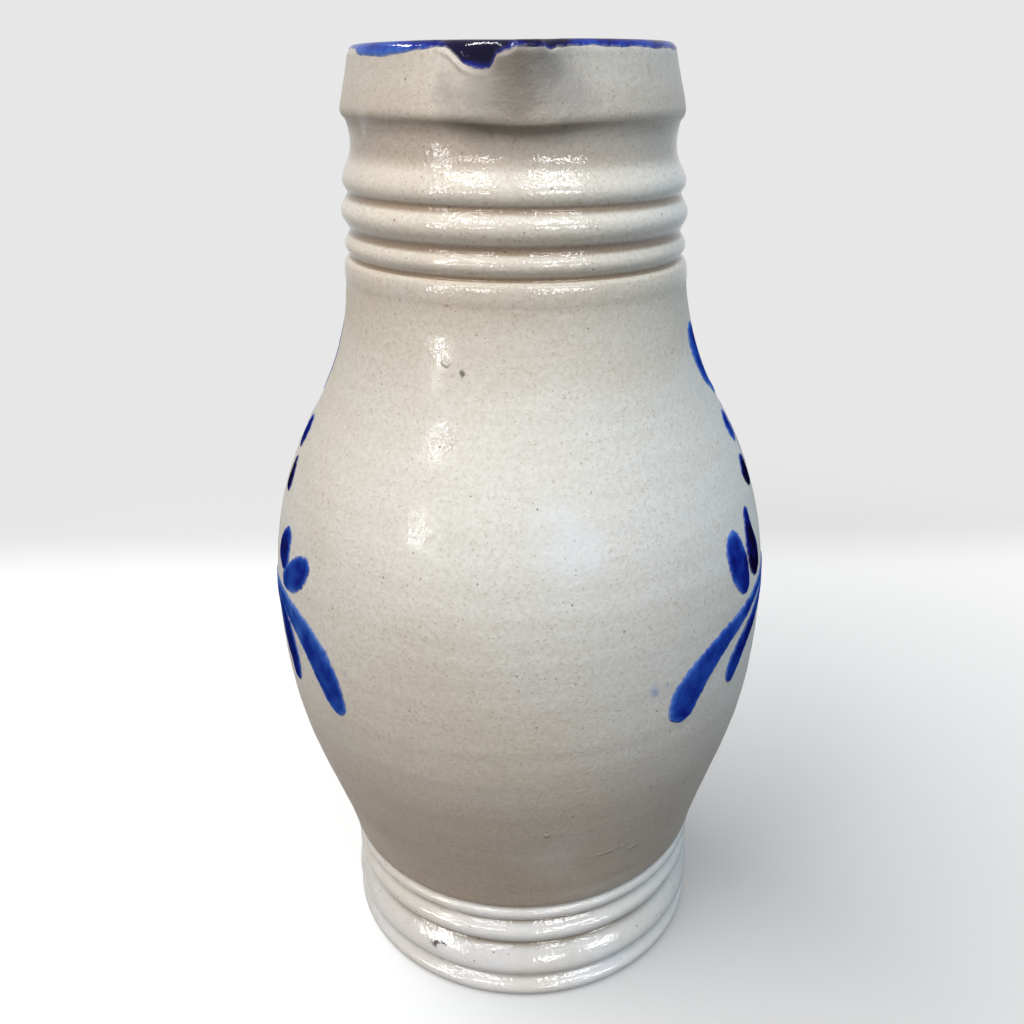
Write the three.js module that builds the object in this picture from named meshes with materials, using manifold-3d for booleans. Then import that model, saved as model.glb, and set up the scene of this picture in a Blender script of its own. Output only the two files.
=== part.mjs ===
// A wheel-thrown, salt-glazed stoneware pitcher. Four turned sections stand on one another from
// the foot to the rim, a pulled strap handle is luted to the back, and cobalt slip is brushed on
// the rim and in a leaf spray on each side.
// Millimetres, +Z up. The origin is the centre of the underside, and the spout points to -Y.
import * as THREE from 'three';
import { mergeVertices } from 'three/addons/utils/BufferGeometryUtils.js';
import Module from 'manifold-3d';

// Height of the clay, which the cobalt on the rim tops by its own thickness
const POT_HEIGHT = 275.6;

// Foot, from the table up: a bottom moulding, a cove and two beads
const MOULDING_HEIGHT = 7.4;
const COVE_HEIGHT = 13.4;
const LOWER_BEAD_HEIGHT = 9.4;
const UPPER_BEAD_HEIGHT = 5.7;
const FOOT_WAIST_RADIUS = 56.5;
const MOULDING_BULGE = 1.5;
const COVE_FLARE = 1.4;
const LOWER_BEAD_BULGE = 1.8;
const UPPER_BEAD_BULGE = 1.5;
const UNDERSIDE_RADIUS = 57.6;
const FLOOR_THICKNESS = 11;
const FLOOR_CORNER_RADIUS = 16;

// Belly: a lower wall that swells to the widest level, and a shoulder that draws in to the neck.
// Fullness and sweep are shares of the wall's height, and the lean is the wall's slope at its foot.
const CREASE_RADIUS = 57.5;
const CREASE_HEIGHT = 2.4;
const LOWER_WALL_RADIUS = 58.8;
const LOWER_WALL_LEAN = 0.261;
const LOWER_WALL_HEIGHT = 86.3;
const BELLY_RADIUS = 75.8;
const LOWER_FULLNESS = 0.431;
const SHOULDER_FULLNESS = 0.543;
const SHOULDER_SWEEP = 0.431;
const WALL_THICKNESS = 6.4;

// Neck: two tooled rings, a bulge and a hollow under the collar
const NECK_RADIUS = 47.2;
const GROOVE_DEPTH = 1.2;
const LOWER_RING_HEIGHT = 7.1;
const LOWER_RING_BULGE = 0.9;
const UPPER_RING_HEIGHT = 8.9;
const UPPER_RING_BULGE = 1.1;
const BULGE_HEIGHT = 14;
const BULGE_SWELL = 3;
const HOLLOW_DEPTH = 3.2;
const HOLLOW_HEIGHT = 6.8;
const NECK_WALL_THICKNESS = 8;

// Collar and rim
const COLLAR_HEIGHT = 15.4;
const COLLAR_OFFSET = 2;
const COLLAR_OVERHANG_WIDTH = 1.2;
const COLLAR_EDGE_HEIGHT = 2.6;
const COLLAR_TAPER = 2.8;
const RIM_TILT_HEIGHT = 0.5;
const RIM_WALL_THICKNESS = 5;
const RIM_CROWN_HEIGHT = 3.4;

// Spout: a lip drawn out between two pinches; angles are in degrees round the rim
const LIP_REACH = 4.5;
const LIP_ANGLE = 9;
const LIP_LEAN = 4;
const LIP_POWER = 1.5;
const LIP_SAG_DEPTH = 2;
const PINCH_ANGLE = 13;
const PINCH_SPREAD = 4.5;
const PINCH_POWER = 3;
const LEFT_PINCH_DEPTH = 3.4;
const RIGHT_PINCH_DEPTH = 1.8;

// Lap seams between the turned sections, and the slip that fills them
const SEAM_LAP = 2.5;
const SEAM_SPIGOT = 2.8;
const SEAM_GAP = 0.3;

// Strap handle: its upper end sits in the neck's hollow, its lower end on the shoulder
const HANDLE_TOP_DEPTH = 9.5;
const HANDLE_FOOT_HEIGHT = 40;
const HANDLE_REACH = 53;
const HANDLE_ARCH_HEIGHT = 14;
const HANDLE_ELBOW_REACH = 50;
const HANDLE_ELBOW_HEIGHT = 47;
const HANDLE_WIDTH = 30;
const HANDLE_FOOT_WIDTH = 25;
const HANDLE_THICKNESS = 9.5;
const HANDLE_SQUARENESS = 0.7;
const HANDLE_SINK_DEPTH = 6;
const LUTE_THICKNESS = 5;
const LUTE_LENGTH = 15;

// Cobalt slip
const SLIP_GAP = 0.3;
const SLIP_THICKNESS = 0.6;
const SLIP_EDGE = 0.3;
const STROKE_ROUNDNESS = 0.7;
const STROKE_TIP = 0.6;
const STEM_WIDTH = 2.2;
const STEM_SWELL = 0.5;

// A spray's leaves on the side of the stem that faces the spout. A path's points are degrees round
// from the spout and a height: a share of the shoulder above the widest level, or of the lower wall
// below it. width is the leaf's widest part, and swell is how far along the path that part lies.
const RIGHT_SPRAY = {
  name: 'right',
  stem: [[88, 0.082], [89, 0.327], [88, 0.573]],
  leaves: [
    { path: [[84, 0.612], [74, 0.7], [72.9, 0.828]], width: 9.5, swell: 0.68 },
    { path: [[77.5, 0.485], [77.2, 0.523], [75.4, 0.579]], width: 6.5, swell: 0.6 },
    { path: [[77, 0.464], [75.3, 0.408], [72.3, 0.362]], width: 8, swell: 0.6 },
    { path: [[64.5, 0.347], [64.2, 0.245], [67.9, 0.136]], width: 10, swell: 0.68 },
    { path: [[54.1, 0.328], [54.8, 0.237], [59, 0.121]], width: 10.5, swell: 0.55 },
    {
      path: [[82, 0.116], [63.4, 0.077], [46.9, 0.026], [37.1, -0.07], [33.5, -0.182]],
      width: 10.5,
      swell: 0.82,
    },
    { path: [[79, 0.077], [66.7, 0.02], [55.4, -0.07], [52.1, -0.154]], width: 8.5, swell: 0.7 },
  ],
};
const LEFT_SPRAY = {
  name: 'left',
  stem: [[-91, 0.082], [-92, 0.327], [-91, 0.573]],
  leaves: [
    { path: [[-88, 0.612], [-86, 0.7], [-85.5, 0.838]], width: 8, swell: 0.68 },
    { path: [[-75.8, 0.577], [-74.9, 0.53], [-75.3, 0.483]], width: 6.5, swell: 0.5 },
    { path: [[-76.5, 0.464], [-74.7, 0.416], [-74.7, 0.366]], width: 6, swell: 0.65 },
    { path: [[-63.1, 0.322], [-65.7, 0.237], [-68.5, 0.158]], width: 9.5, swell: 0.62 },
    { path: [[-64.5, 0.16], [-58.7, 0.163], [-53.6, 0.227]], width: 11.5, swell: 0.6 },
    { path: [[-82, 0.116], [-63.3, 0.082], [-49, 0.003], [-41.4, -0.179]], width: 9.5, swell: 0.72 },
    { path: [[-78, 0.077], [-68.5, 0.044], [-62, -0.058], [-60.3, -0.183]], width: 6.5, swell: 0.65 },
  ],
};

// Fineness of the facets
const TURNS = 40;
const RIM_TURNS = 52;
const RIM_CROWDING = 0.6;
const CURVE_STEPS = 5;
const RIM_STEPS = 3;
const BELLY_STEPS = 8;
const HANDLE_STEP = 8;
const HANDLE_SIDES = 14;
const STROKE_STEP = 5;
const STROKE_LEAST_STEPS = 4;
const STROKE_PROBE = 0.01;

const CLAY = new THREE.MeshStandardMaterial({ color: 0xc9c3b5, roughness: 0.35, metalness: 0 });
const FOOT_CLAY = new THREE.MeshStandardMaterial({ color: 0xd9d4cb, roughness: 0.25, metalness: 0 });
const COBALT = new THREE.MeshStandardMaterial({ color: 0x1f3a93, roughness: 0.25, metalness: 0 });

// Levels from the table up
const COVE_LEVEL = MOULDING_HEIGHT + COVE_HEIGHT;
const BEAD_LEVEL = COVE_LEVEL + LOWER_BEAD_HEIGHT;
const FOOT_TOP = BEAD_LEVEL + UPPER_BEAD_HEIGHT;
const WIDEST_LEVEL = FOOT_TOP + LOWER_WALL_HEIGHT;
const NECK_TOP = POT_HEIGHT - COLLAR_HEIGHT;
const HOLLOW_LEVEL = NECK_TOP - HOLLOW_HEIGHT;
const BULGE_LEVEL = HOLLOW_LEVEL - BULGE_HEIGHT;
const RING_LEVEL = BULGE_LEVEL - UPPER_RING_HEIGHT;
const SHOULDER_TOP = RING_LEVEL - LOWER_RING_HEIGHT;
const SHOULDER_HEIGHT = SHOULDER_TOP - WIDEST_LEVEL;

// Radii that follow the neck's
const GROOVE_RADIUS = NECK_RADIUS - GROOVE_DEPTH;
const HOLLOW_RADIUS = NECK_RADIUS - HOLLOW_DEPTH;
const NECK_BORE = NECK_RADIUS - NECK_WALL_THICKNESS;
const COLLAR_RADIUS = HOLLOW_RADIUS + COLLAR_OFFSET;
const COLLAR_NECK_RADIUS = COLLAR_RADIUS - COLLAR_OVERHANG_WIDTH;
const RIM_RADIUS = COLLAR_RADIUS - COLLAR_TAPER;

const wasm = await Module();
wasm.setup();

// Continues a path upwards to (radius, height) over a rounded bead that stands bulge proud.
function addBead(path, radius, height, bulge) {
  const start = path.currentPoint;
  path.quadraticCurveTo((start.x + radius) / 2 + 2 * bulge, (start.y + height) / 2, radius, height);
}

// A lap seam closes the top of the lower section: an outer land, and a spigot along the bore.
function addSpigot(path, level, inside) {
  const step = inside + SEAM_SPIGOT;
  path.lineTo(step, level);
  path.lineTo(step, level + SEAM_LAP);
  path.lineTo(inside, level + SEAM_LAP);
}

// The upper section's socket, which starts on its bore and ends on its outer face.
function startSocket(path, level, outside, inside) {
  const step = inside + SEAM_SPIGOT + SEAM_GAP;
  path.moveTo(inside, level + SEAM_LAP + SEAM_GAP);
  path.lineTo(step, level + SEAM_LAP + SEAM_GAP);
  path.lineTo(step, level + SEAM_GAP);
  path.lineTo(outside, level + SEAM_GAP);
}

// Turns a profile of (radius, height) about the vertical axis, starting at the spout.
function turn(points, turns) {
  return new THREE.LatheGeometry(points, turns).rotateX(Math.PI / 2);
}

function footGeometry() {
  const bore = CREASE_RADIUS - WALL_THICKNESS;
  const profile = new THREE.Path();
  profile.moveTo(0, 0);
  profile.lineTo(UNDERSIDE_RADIUS, 0);
  addBead(profile, FOOT_WAIST_RADIUS, MOULDING_HEIGHT, MOULDING_BULGE);
  profile.bezierCurveTo(
    FOOT_WAIST_RADIUS + 2 * COVE_FLARE, MOULDING_HEIGHT + COVE_HEIGHT / 6,
    FOOT_WAIST_RADIUS, MOULDING_HEIGHT + COVE_HEIGHT / 2,
    FOOT_WAIST_RADIUS, COVE_LEVEL,
  );
  addBead(profile, FOOT_WAIST_RADIUS, BEAD_LEVEL, LOWER_BEAD_BULGE);
  addBead(profile, CREASE_RADIUS, FOOT_TOP, UPPER_BEAD_BULGE);
  addSpigot(profile, FOOT_TOP, bore);
  profile.lineTo(bore, FLOOR_THICKNESS + FLOOR_CORNER_RADIUS);
  profile.quadraticCurveTo(bore, FLOOR_THICKNESS, bore - FLOOR_CORNER_RADIUS, FLOOR_THICKNESS);
  profile.lineTo(0, FLOOR_THICKNESS);
  return turn(profile.getPoints(CURVE_STEPS), TURNS);
}

// The belly's outer face from the crease to the neck, set in by inset for the bore.
function addBelly(path, inset) {
  const start = FOOT_TOP + CREASE_HEIGHT;
  const radius = LOWER_WALL_RADIUS - inset;
  const pull = LOWER_FULLNESS * LOWER_WALL_HEIGHT;
  path.bezierCurveTo(
    radius + LOWER_WALL_LEAN * pull, start + pull,
    BELLY_RADIUS - inset, WIDEST_LEVEL - pull,
    BELLY_RADIUS - inset, WIDEST_LEVEL,
  );
  path.bezierCurveTo(
    BELLY_RADIUS - inset, WIDEST_LEVEL + SHOULDER_FULLNESS * SHOULDER_HEIGHT,
    NECK_RADIUS - inset, SHOULDER_TOP - SHOULDER_SWEEP * SHOULDER_HEIGHT,
    NECK_RADIUS - inset, SHOULDER_TOP,
  );
}

function bellyOutline() {
  const outline = new THREE.Path();
  outline.moveTo(CREASE_RADIUS, FOOT_TOP + SEAM_GAP);
  outline.lineTo(LOWER_WALL_RADIUS, FOOT_TOP + CREASE_HEIGHT);
  addBelly(outline, 0);
  return outline.getPoints(BELLY_STEPS);
}

function bellyGeometry() {
  const lowerBore = CREASE_RADIUS - WALL_THICKNESS;
  const upperBore = NECK_RADIUS - WALL_THICKNESS;
  const socket = new THREE.Path();
  startSocket(socket, FOOT_TOP, CREASE_RADIUS, lowerBore);
  const spigot = new THREE.Path();
  spigot.moveTo(NECK_RADIUS, SHOULDER_TOP);
  addSpigot(spigot, SHOULDER_TOP, upperBore);
  const bore = new THREE.Path();
  bore.moveTo(LOWER_WALL_RADIUS - WALL_THICKNESS, FOOT_TOP + SEAM_LAP + CREASE_HEIGHT);
  addBelly(bore, WALL_THICKNESS);
  const profile = [
    ...socket.getPoints(),
    ...bellyOutline().slice(1),
    ...spigot.getPoints().slice(1),
    ...bore.getPoints(CURVE_STEPS).reverse(),
  ];
  return turn([...profile, profile[0]], TURNS);
}

// The neck's outer face, from the tooled line on the shoulder to the collar.
function addNeck(path) {
  addBead(path, GROOVE_RADIUS, RING_LEVEL, LOWER_RING_BULGE);
  addBead(path, GROOVE_RADIUS, BULGE_LEVEL, UPPER_RING_BULGE);
  path.bezierCurveTo(
    GROOVE_RADIUS + BULGE_SWELL, BULGE_LEVEL + BULGE_HEIGHT / 3,
    HOLLOW_RADIUS, HOLLOW_LEVEL - BULGE_HEIGHT / 2,
    HOLLOW_RADIUS, HOLLOW_LEVEL,
  );
  path.quadraticCurveTo(HOLLOW_RADIUS, HOLLOW_LEVEL + HOLLOW_HEIGHT / 2, COLLAR_NECK_RADIUS, NECK_TOP);
}

function neckGeometry() {
  const profile = new THREE.Path();
  startSocket(profile, SHOULDER_TOP, GROOVE_RADIUS, NECK_RADIUS - WALL_THICKNESS);
  addNeck(profile);
  addSpigot(profile, NECK_TOP, NECK_BORE);
  profile.closePath();
  return turn(profile.getPoints(CURVE_STEPS), TURNS);
}

function bell(angle, spread) {
  return Math.exp(-((angle / spread) ** 2));
}

// How far the rim is drawn out or pinched in, at an angle in degrees from the spout and a level
// that runs from 0 at the collar's lower edge to 1 at the rim.
function spoutPush(angle, level) {
  const lip = LIP_REACH * bell(angle - LIP_LEAN, LIP_ANGLE) * level ** LIP_POWER;
  const left = LEFT_PINCH_DEPTH * bell(angle + PINCH_ANGLE, PINCH_SPREAD);
  const right = RIGHT_PINCH_DEPTH * bell(angle - PINCH_ANGLE, PINCH_SPREAD);
  return lip - (left + right) * level ** PINCH_POWER;
}

// Turns a rim profile with its facets crowded round the spout, and draws the spout out of it.
function turnRim(profile) {
  const geometry = turn(profile, RIM_TURNS);
  const place = geometry.getAttribute('position');
  for (let i = 0; i < place.count; i += 1) {
    const even = Math.atan2(place.getX(i), -place.getY(i));
    const angle = even - RIM_CROWDING * Math.sin(even);
    const degrees = THREE.MathUtils.radToDeg(angle);
    const height = place.getZ(i);
    const level = THREE.MathUtils.clamp((height - NECK_TOP) / COLLAR_HEIGHT, 0, 1);
    const bare = Math.hypot(place.getX(i), place.getY(i));
    const overhang = THREE.MathUtils.clamp((bare - COLLAR_NECK_RADIUS) / COLLAR_OVERHANG_WIDTH, 0, 1);
    const sag = LIP_SAG_DEPTH * overhang * (1 - level) * bell(degrees - LIP_LEAN, 2 * LIP_ANGLE);
    const drop = sag + RIM_TILT_HEIGHT * level * Math.sin(angle);
    const radius = bare + spoutPush(degrees, level);
    place.setXYZ(i, radius * Math.sin(angle), -radius * Math.cos(angle), height - drop);
  }
  return geometry;
}

// Half an oval over the rim's crown, from its outer to its inner face, standing proud of the clay.
function addCrown(path, proud, backwards) {
  const [start, end] = backwards ? [Math.PI, 0] : [0, Math.PI];
  const middle = RIM_RADIUS - RIM_WALL_THICKNESS / 2;
  const width = RIM_WALL_THICKNESS / 2 + proud;
  const height = RIM_CROWN_HEIGHT + proud;
  path.absellipse(middle, POT_HEIGHT - RIM_CROWN_HEIGHT, width, height, start, end, backwards, 0);
}

function collarGeometry() {
  const profile = new THREE.Path();
  startSocket(profile, NECK_TOP, COLLAR_NECK_RADIUS, NECK_BORE);
  const lowEdge = NECK_TOP + SEAM_GAP;
  profile.quadraticCurveTo(COLLAR_RADIUS, lowEdge, COLLAR_RADIUS, NECK_TOP + COLLAR_EDGE_HEIGHT);
  profile.lineTo(RIM_RADIUS, POT_HEIGHT - RIM_CROWN_HEIGHT);
  addCrown(profile, 0, false);
  profile.closePath();
  return turnRim(profile.getPoints(RIM_STEPS));
}

function rimCobaltGeometry() {
  const profile = new THREE.Path();
  addCrown(profile, SLIP_GAP + SLIP_THICKNESS, false);
  addCrown(profile, SLIP_GAP, true);
  profile.closePath();
  return turnRim(profile.getPoints(RIM_STEPS));
}

// Skins a row of rings of points into one closed solid with flat ends.
function loft(rings) {
  const sides = rings[0].length;
  const faces = [];
  for (let ring = 0; ring + 1 < rings.length; ring += 1) {
    for (let side = 0; side < sides; side += 1) {
      const corner = ring * sides + side;
      const next = ring * sides + (side + 1) % sides;
      faces.push(corner, next, next + sides, corner, next + sides, corner + sides);
    }
  }
  const last = (rings.length - 1) * sides;
  for (let side = 1; side + 1 < sides; side += 1) {
    faces.push(0, side + 1, side, last, last + side, last + side + 1);
  }
  return new THREE.BufferGeometry().setFromPoints(rings.flat()).setIndex(faces);
}

function solidOf(geometry) {
  const bare = geometry.clone();
  bare.deleteAttribute('normal');
  bare.deleteAttribute('uv');
  const merged = mergeVertices(bare);
  return new wasm.Manifold(new wasm.Mesh({
    numProp: 3,
    vertProperties: merged.getAttribute('position').array,
    triVerts: new Uint32Array(merged.index.array),
  }));
}

function geometryOf(solid) {
  const mesh = solid.getMesh();
  const geometry = new THREE.BufferGeometry();
  geometry.setAttribute('position', new THREE.BufferAttribute(mesh.vertProperties, 3));
  return geometry.setIndex(new THREE.BufferAttribute(mesh.triVerts, 1));
}

// The space that the turned sections fill, grown by the luting gap, which the handle butts against.
function bodyEnvelope() {
  const neck = new THREE.Path();
  neck.moveTo(GROOVE_RADIUS, SHOULDER_TOP);
  addNeck(neck);
  neck.lineTo(COLLAR_RADIUS, NECK_TOP);
  neck.lineTo(COLLAR_RADIUS, POT_HEIGHT);
  const outline = [...bellyOutline(), ...neck.getPoints(CURVE_STEPS)];
  const grown = outline.map((point) => new THREE.Vector2(point.x + SEAM_GAP, point.y));
  const core = NECK_BORE / 2;
  const foot = new THREE.Vector2(core, grown[0].y);
  const top = new THREE.Vector2(core, POT_HEIGHT);
  return solidOf(turn([foot, ...grown, top, foot], TURNS));
}

// The belly's radius at a height, along the facets of its outline.
function bellyRadius(height) {
  const outline = bellyOutline();
  const above = Math.max(1, outline.findIndex((point) => point.y >= height));
  const [low, high] = [outline[above - 1], outline[above]];
  return THREE.MathUtils.mapLinear(height, low.y, high.y, low.x, high.x);
}

function handleCurve() {
  const top = NECK_TOP - HANDLE_TOP_DEPTH;
  const foot = WIDEST_LEVEL + HANDLE_FOOT_HEIGHT;
  const start = HOLLOW_RADIUS - HANDLE_SINK_DEPTH;
  const end = bellyRadius(foot) - HANDLE_SINK_DEPTH;
  return new THREE.CubicBezierCurve3(
    new THREE.Vector3(0, start, top),
    new THREE.Vector3(0, start + HANDLE_REACH, top + HANDLE_ARCH_HEIGHT),
    new THREE.Vector3(0, end + HANDLE_ELBOW_REACH, foot + HANDLE_ELBOW_HEIGHT),
    new THREE.Vector3(0, end, foot),
  );
}

// A strap along the handle's curve between two lengths, grown all round by a margin for each ring.
function strap(from, to, marginAt) {
  const curve = handleCurve();
  const length = curve.getLength();
  const steps = Math.ceil((to - from) / HANDLE_STEP);
  const rings = [];
  for (let step = 0; step <= steps; step += 1) {
    const along = THREE.MathUtils.lerp(from, to, step / steps);
    const share = along / length;
    const middle = curve.getPointAt(share);
    const tangent = curve.getTangentAt(share);
    const outward = new THREE.Vector3(0, -tangent.z, tangent.y);
    const margin = marginAt(along, length);
    const halfWidth = THREE.MathUtils.lerp(HANDLE_WIDTH, HANDLE_FOOT_WIDTH, share) / 2 + margin;
    const halfThickness = HANDLE_THICKNESS / 2 + margin;
    rings.push(strapRing(middle, outward, halfWidth, halfThickness));
  }
  return loft(rings);
}

function strapRing(middle, outward, halfWidth, halfThickness) {
  const ring = [];
  for (let side = 0; side < HANDLE_SIDES; side += 1) {
    const turned = (2 * Math.PI * side) / HANDLE_SIDES;
    const point = middle.clone().addScaledVector(outward, squared(Math.cos(turned)) * halfThickness);
    ring.push(point.setX(squared(Math.sin(turned)) * halfWidth));
  }
  return ring;
}

function squared(value) {
  return Math.sign(value) * Math.abs(value) ** HANDLE_SQUARENESS;
}

function handleGeometry(envelope) {
  const whole = solidOf(strap(0, handleCurve().getLength(), () => 0));
  return geometryOf(whole.subtract(envelope));
}

// Slip worked into a fillet round one end of the handle, thinning out along the strap.
function luteGeometry(envelope, atFoot) {
  const length = handleCurve().getLength();
  const room = solidOf(strap(0, length, () => SEAM_GAP));
  const thinning = (along, whole) => {
    const fromEnd = atFoot ? whole - along : along;
    return LUTE_THICKNESS * (1 - fromEnd / LUTE_LENGTH) + 2 * SEAM_GAP;
  };
  const [from, to] = atFoot ? [length - LUTE_LENGTH, length] : [0, LUTE_LENGTH];
  const fillet = solidOf(strap(from, to, thinning));
  return geometryOf(fillet.subtract(room).subtract(envelope));
}

function shareHeight(share) {
  return WIDEST_LEVEL + share * (share > 0 ? SHOULDER_HEIGHT : LOWER_WALL_HEIGHT);
}

// A point on the belly at an angle in radians from the spout, standing proud of the clay.
function onBelly(angle, height, proud) {
  const radius = bellyRadius(height) + proud;
  return new THREE.Vector3(radius * Math.sin(angle), -radius * Math.cos(angle), height);
}

// Lays a point near the belly onto it.
function layOn(point, proud) {
  return onBelly(Math.atan2(point.x, -point.y), point.z, proud);
}

// One brush stroke of slip: a low ridge on the belly that follows its path and tapers to its ends.
function strokeGeometry(path, width, swell) {
  const curve = new THREE.SplineCurve(path.map(([x, y]) => new THREE.Vector2(x, y)));
  const placeAt = (along) => {
    const { x, y } = curve.getPoint(along);
    return onBelly(THREE.MathUtils.degToRad(x), shareHeight(y), 0);
  };
  const skew = Math.log(0.5) / Math.log(swell);
  const reach = placeAt(0).distanceTo(placeAt(1));
  const steps = STROKE_LEAST_STEPS + Math.ceil(reach / STROKE_STEP);
  const rings = [];
  for (let step = 0; step <= steps; step += 1) {
    const along = (1 - Math.cos((Math.PI * step) / steps)) / 2;
    const middle = placeAt(along);
    const next = placeAt(Math.min(1, along + STROKE_PROBE));
    const ahead = next.sub(placeAt(Math.max(0, along - STROKE_PROBE)));
    const radial = new THREE.Vector3(middle.x, middle.y, 0);
    const sideways = radial.cross(ahead).normalize();
    const bulk = Math.abs(Math.sin(Math.PI * along ** skew)) ** STROKE_ROUNDNESS;
    const half = Math.max(STROKE_TIP, width * bulk) / 2;
    const left = middle.clone().addScaledVector(sideways, half);
    const right = middle.clone().addScaledVector(sideways, -half);
    const ridge = SLIP_GAP + Math.max(SLIP_EDGE, SLIP_THICKNESS * bulk);
    rings.push([
      layOn(middle, SLIP_GAP),
      layOn(left, SLIP_GAP),
      layOn(left, SLIP_GAP + SLIP_EDGE),
      layOn(middle, ridge),
      layOn(right, SLIP_GAP + SLIP_EDGE),
      layOn(right, SLIP_GAP),
    ]);
  }
  return loft(rings);
}

function addMesh(group, name, geometry, material) {
  const mesh = new THREE.Mesh(geometry, material);
  mesh.name = name;
  group.add(mesh);
}

// A spray is a stem with its leaves, and the same leaves again mirrored beyond the stem.
function sprayGroup({ name, stem, leaves }) {
  const group = new THREE.Group();
  addMesh(group, `${name}_stem`, strokeGeometry(stem, STEM_WIDTH, STEM_SWELL), COBALT);
  const mirror = 2 * stem[0][0];
  leaves.forEach(({ path, width, swell }, index) => {
    const mirrored = path.map(([angle, height]) => [mirror - angle, height]);
    addMesh(group, `${name}_front_leaf_${index + 1}`, strokeGeometry(path, width, swell), COBALT);
    addMesh(group, `${name}_back_leaf_${index + 1}`, strokeGeometry(mirrored, width, swell), COBALT);
  });
  return group;
}

function bodyGroup() {
  const group = new THREE.Group();
  addMesh(group, 'foot', footGeometry(), FOOT_CLAY);
  addMesh(group, 'belly', bellyGeometry(), CLAY);
  addMesh(group, 'neck', neckGeometry(), CLAY);
  addMesh(group, 'rim_collar', collarGeometry(), CLAY);
  addMesh(group, 'rim_cobalt', rimCobaltGeometry(), COBALT);
  return group;
}

function handleGroup() {
  const group = new THREE.Group();
  const envelope = bodyEnvelope();
  addMesh(group, 'strap_handle', handleGeometry(envelope), CLAY);
  addMesh(group, 'handle_upper_lute', luteGeometry(envelope, false), CLAY);
  addMesh(group, 'handle_lower_lute', luteGeometry(envelope, true), CLAY);
  return group;
}

const pitcher = new THREE.Group();
pitcher.add(bodyGroup(), handleGroup(), sprayGroup(RIGHT_SPRAY), sprayGroup(LEFT_SPRAY));

export default pitcher;
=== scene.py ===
"""Looks of a salt-glazed stoneware pitcher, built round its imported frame.

Sizes are in mm, and angles in degrees from the front, unless a line says otherwise.
"""

import math

import bmesh
import bpy
import numpy as np
from mathutils import Matrix


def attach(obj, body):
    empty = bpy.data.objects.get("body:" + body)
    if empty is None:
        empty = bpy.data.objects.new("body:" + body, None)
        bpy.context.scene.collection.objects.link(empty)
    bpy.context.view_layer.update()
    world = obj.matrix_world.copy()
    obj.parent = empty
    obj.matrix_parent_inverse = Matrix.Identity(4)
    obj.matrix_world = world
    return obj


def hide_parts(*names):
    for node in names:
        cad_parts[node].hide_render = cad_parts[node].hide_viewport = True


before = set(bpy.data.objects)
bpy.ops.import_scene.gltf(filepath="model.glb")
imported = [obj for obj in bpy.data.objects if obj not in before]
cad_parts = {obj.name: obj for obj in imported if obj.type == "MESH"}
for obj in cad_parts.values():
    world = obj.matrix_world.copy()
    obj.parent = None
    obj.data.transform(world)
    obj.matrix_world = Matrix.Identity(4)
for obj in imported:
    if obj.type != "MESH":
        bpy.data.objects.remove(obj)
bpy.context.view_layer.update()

MM = 0.001

# Foot
UNDERSIDE_RADIUS = 58.1
UNDERSIDE_CHAMFER = 0.7
UNDERSIDE_EDGE = 0.5
WAIST_RADIUS = 54.7
MOULDING_HEIGHT = 7.4
COVE_LEVEL = 20.2
BEAD_LEVEL = 29.4
FOOT_TOP = 35.9
MOULDING_BULGE = 2.5
COVE_FLARE = 3.6
COVE_LOWER_PULL = 2.0
COVE_UPPER_PULL = 1.3
LOWER_BEAD_BULGE = 3.7
UPPER_BEAD_BULGE = 2.3
FLOOR_THICKNESS = 11.0
FLOOR_CORNER_RADIUS = 16.0
SEAT_RADIUS = 50.0
SEAT_LEVEL = 6.0
SEAT_GAP = 0.2
FOOT_SOFTNESS = 0.7
FOOT_SHRINK = 0.2
FOOT_WAVER = 0.12
FOOT_RIPPLE = 0.08
FOOT_RIPPLE_RISE = 9.0
FOOT_WAVER_RADIUS = 50.0

# Belly and shoulder
CREASE_RADIUS = 57.5
CREASE_DEPTH = 0.6
WALL_START = 38.3
LOWER_WALL_RADIUS = 58.8
LOWER_WALL_LEAN = 0.261
LOWER_WALL_HEIGHT = 86.3
LOWER_FULLNESS = 0.431
BELLY_RADIUS = 75.8
WIDEST_LEVEL = 122.2
SHOULDER_TOP = 222.7
SHOULDER_HEIGHT = SHOULDER_TOP - WIDEST_LEVEL
SHOULDER_FULLNESS = 0.543
SHOULDER_SWEEP = 0.431
SHOULDER_SWELL = 0.8
SHOULDER_LEAN = 0.4
SWELL_LEVEL = 200.0
SWELL_SPREAD = 25.0
SHOULDER_BEAD = 0.5
SHOULDER_BEAD_LEVEL = 219.6
SHOULDER_BEAD_SPREAD = 2.0
WALL_THICKNESS = 6.4
BODY_SOFTNESS = 0.55

# Neck, collar and rim
NECK_RADIUS = 47.2
TOOLED_LINE_WIDTH = 0.6
GROOVE_RADIUS = 45.5
RING_LEVEL = 230.4
BULGE_LEVEL = 240.3
HOLLOW_LEVEL = 252.8
HOLLOW_RADIUS = 44.0
NECK_TOP = 258.7
LOWER_RING_BULGE = 1.7
UPPER_RING_BULGE = 2.2
RING_ROUNDNESS = 1.4
BULGE_SWELL = 4.0
NECK_BORE = 39.2
COLLAR_NECK_RADIUS = 44.8
COLLAR_RADIUS = 46.0
COLLAR_EDGE_LIFT = 0.3
COLLAR_EDGE_HEIGHT = 2.6
RIM_RADIUS = 43.2
RIM_WALL_THICKNESS = 5.0
RIM_CROWN_HEIGHT = 3.4
POT_HEIGHT = 276.4
RIM_TILT = 0.9
RIM_LEVELLING = 0.72
TILT_FADE = 14.0

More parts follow.
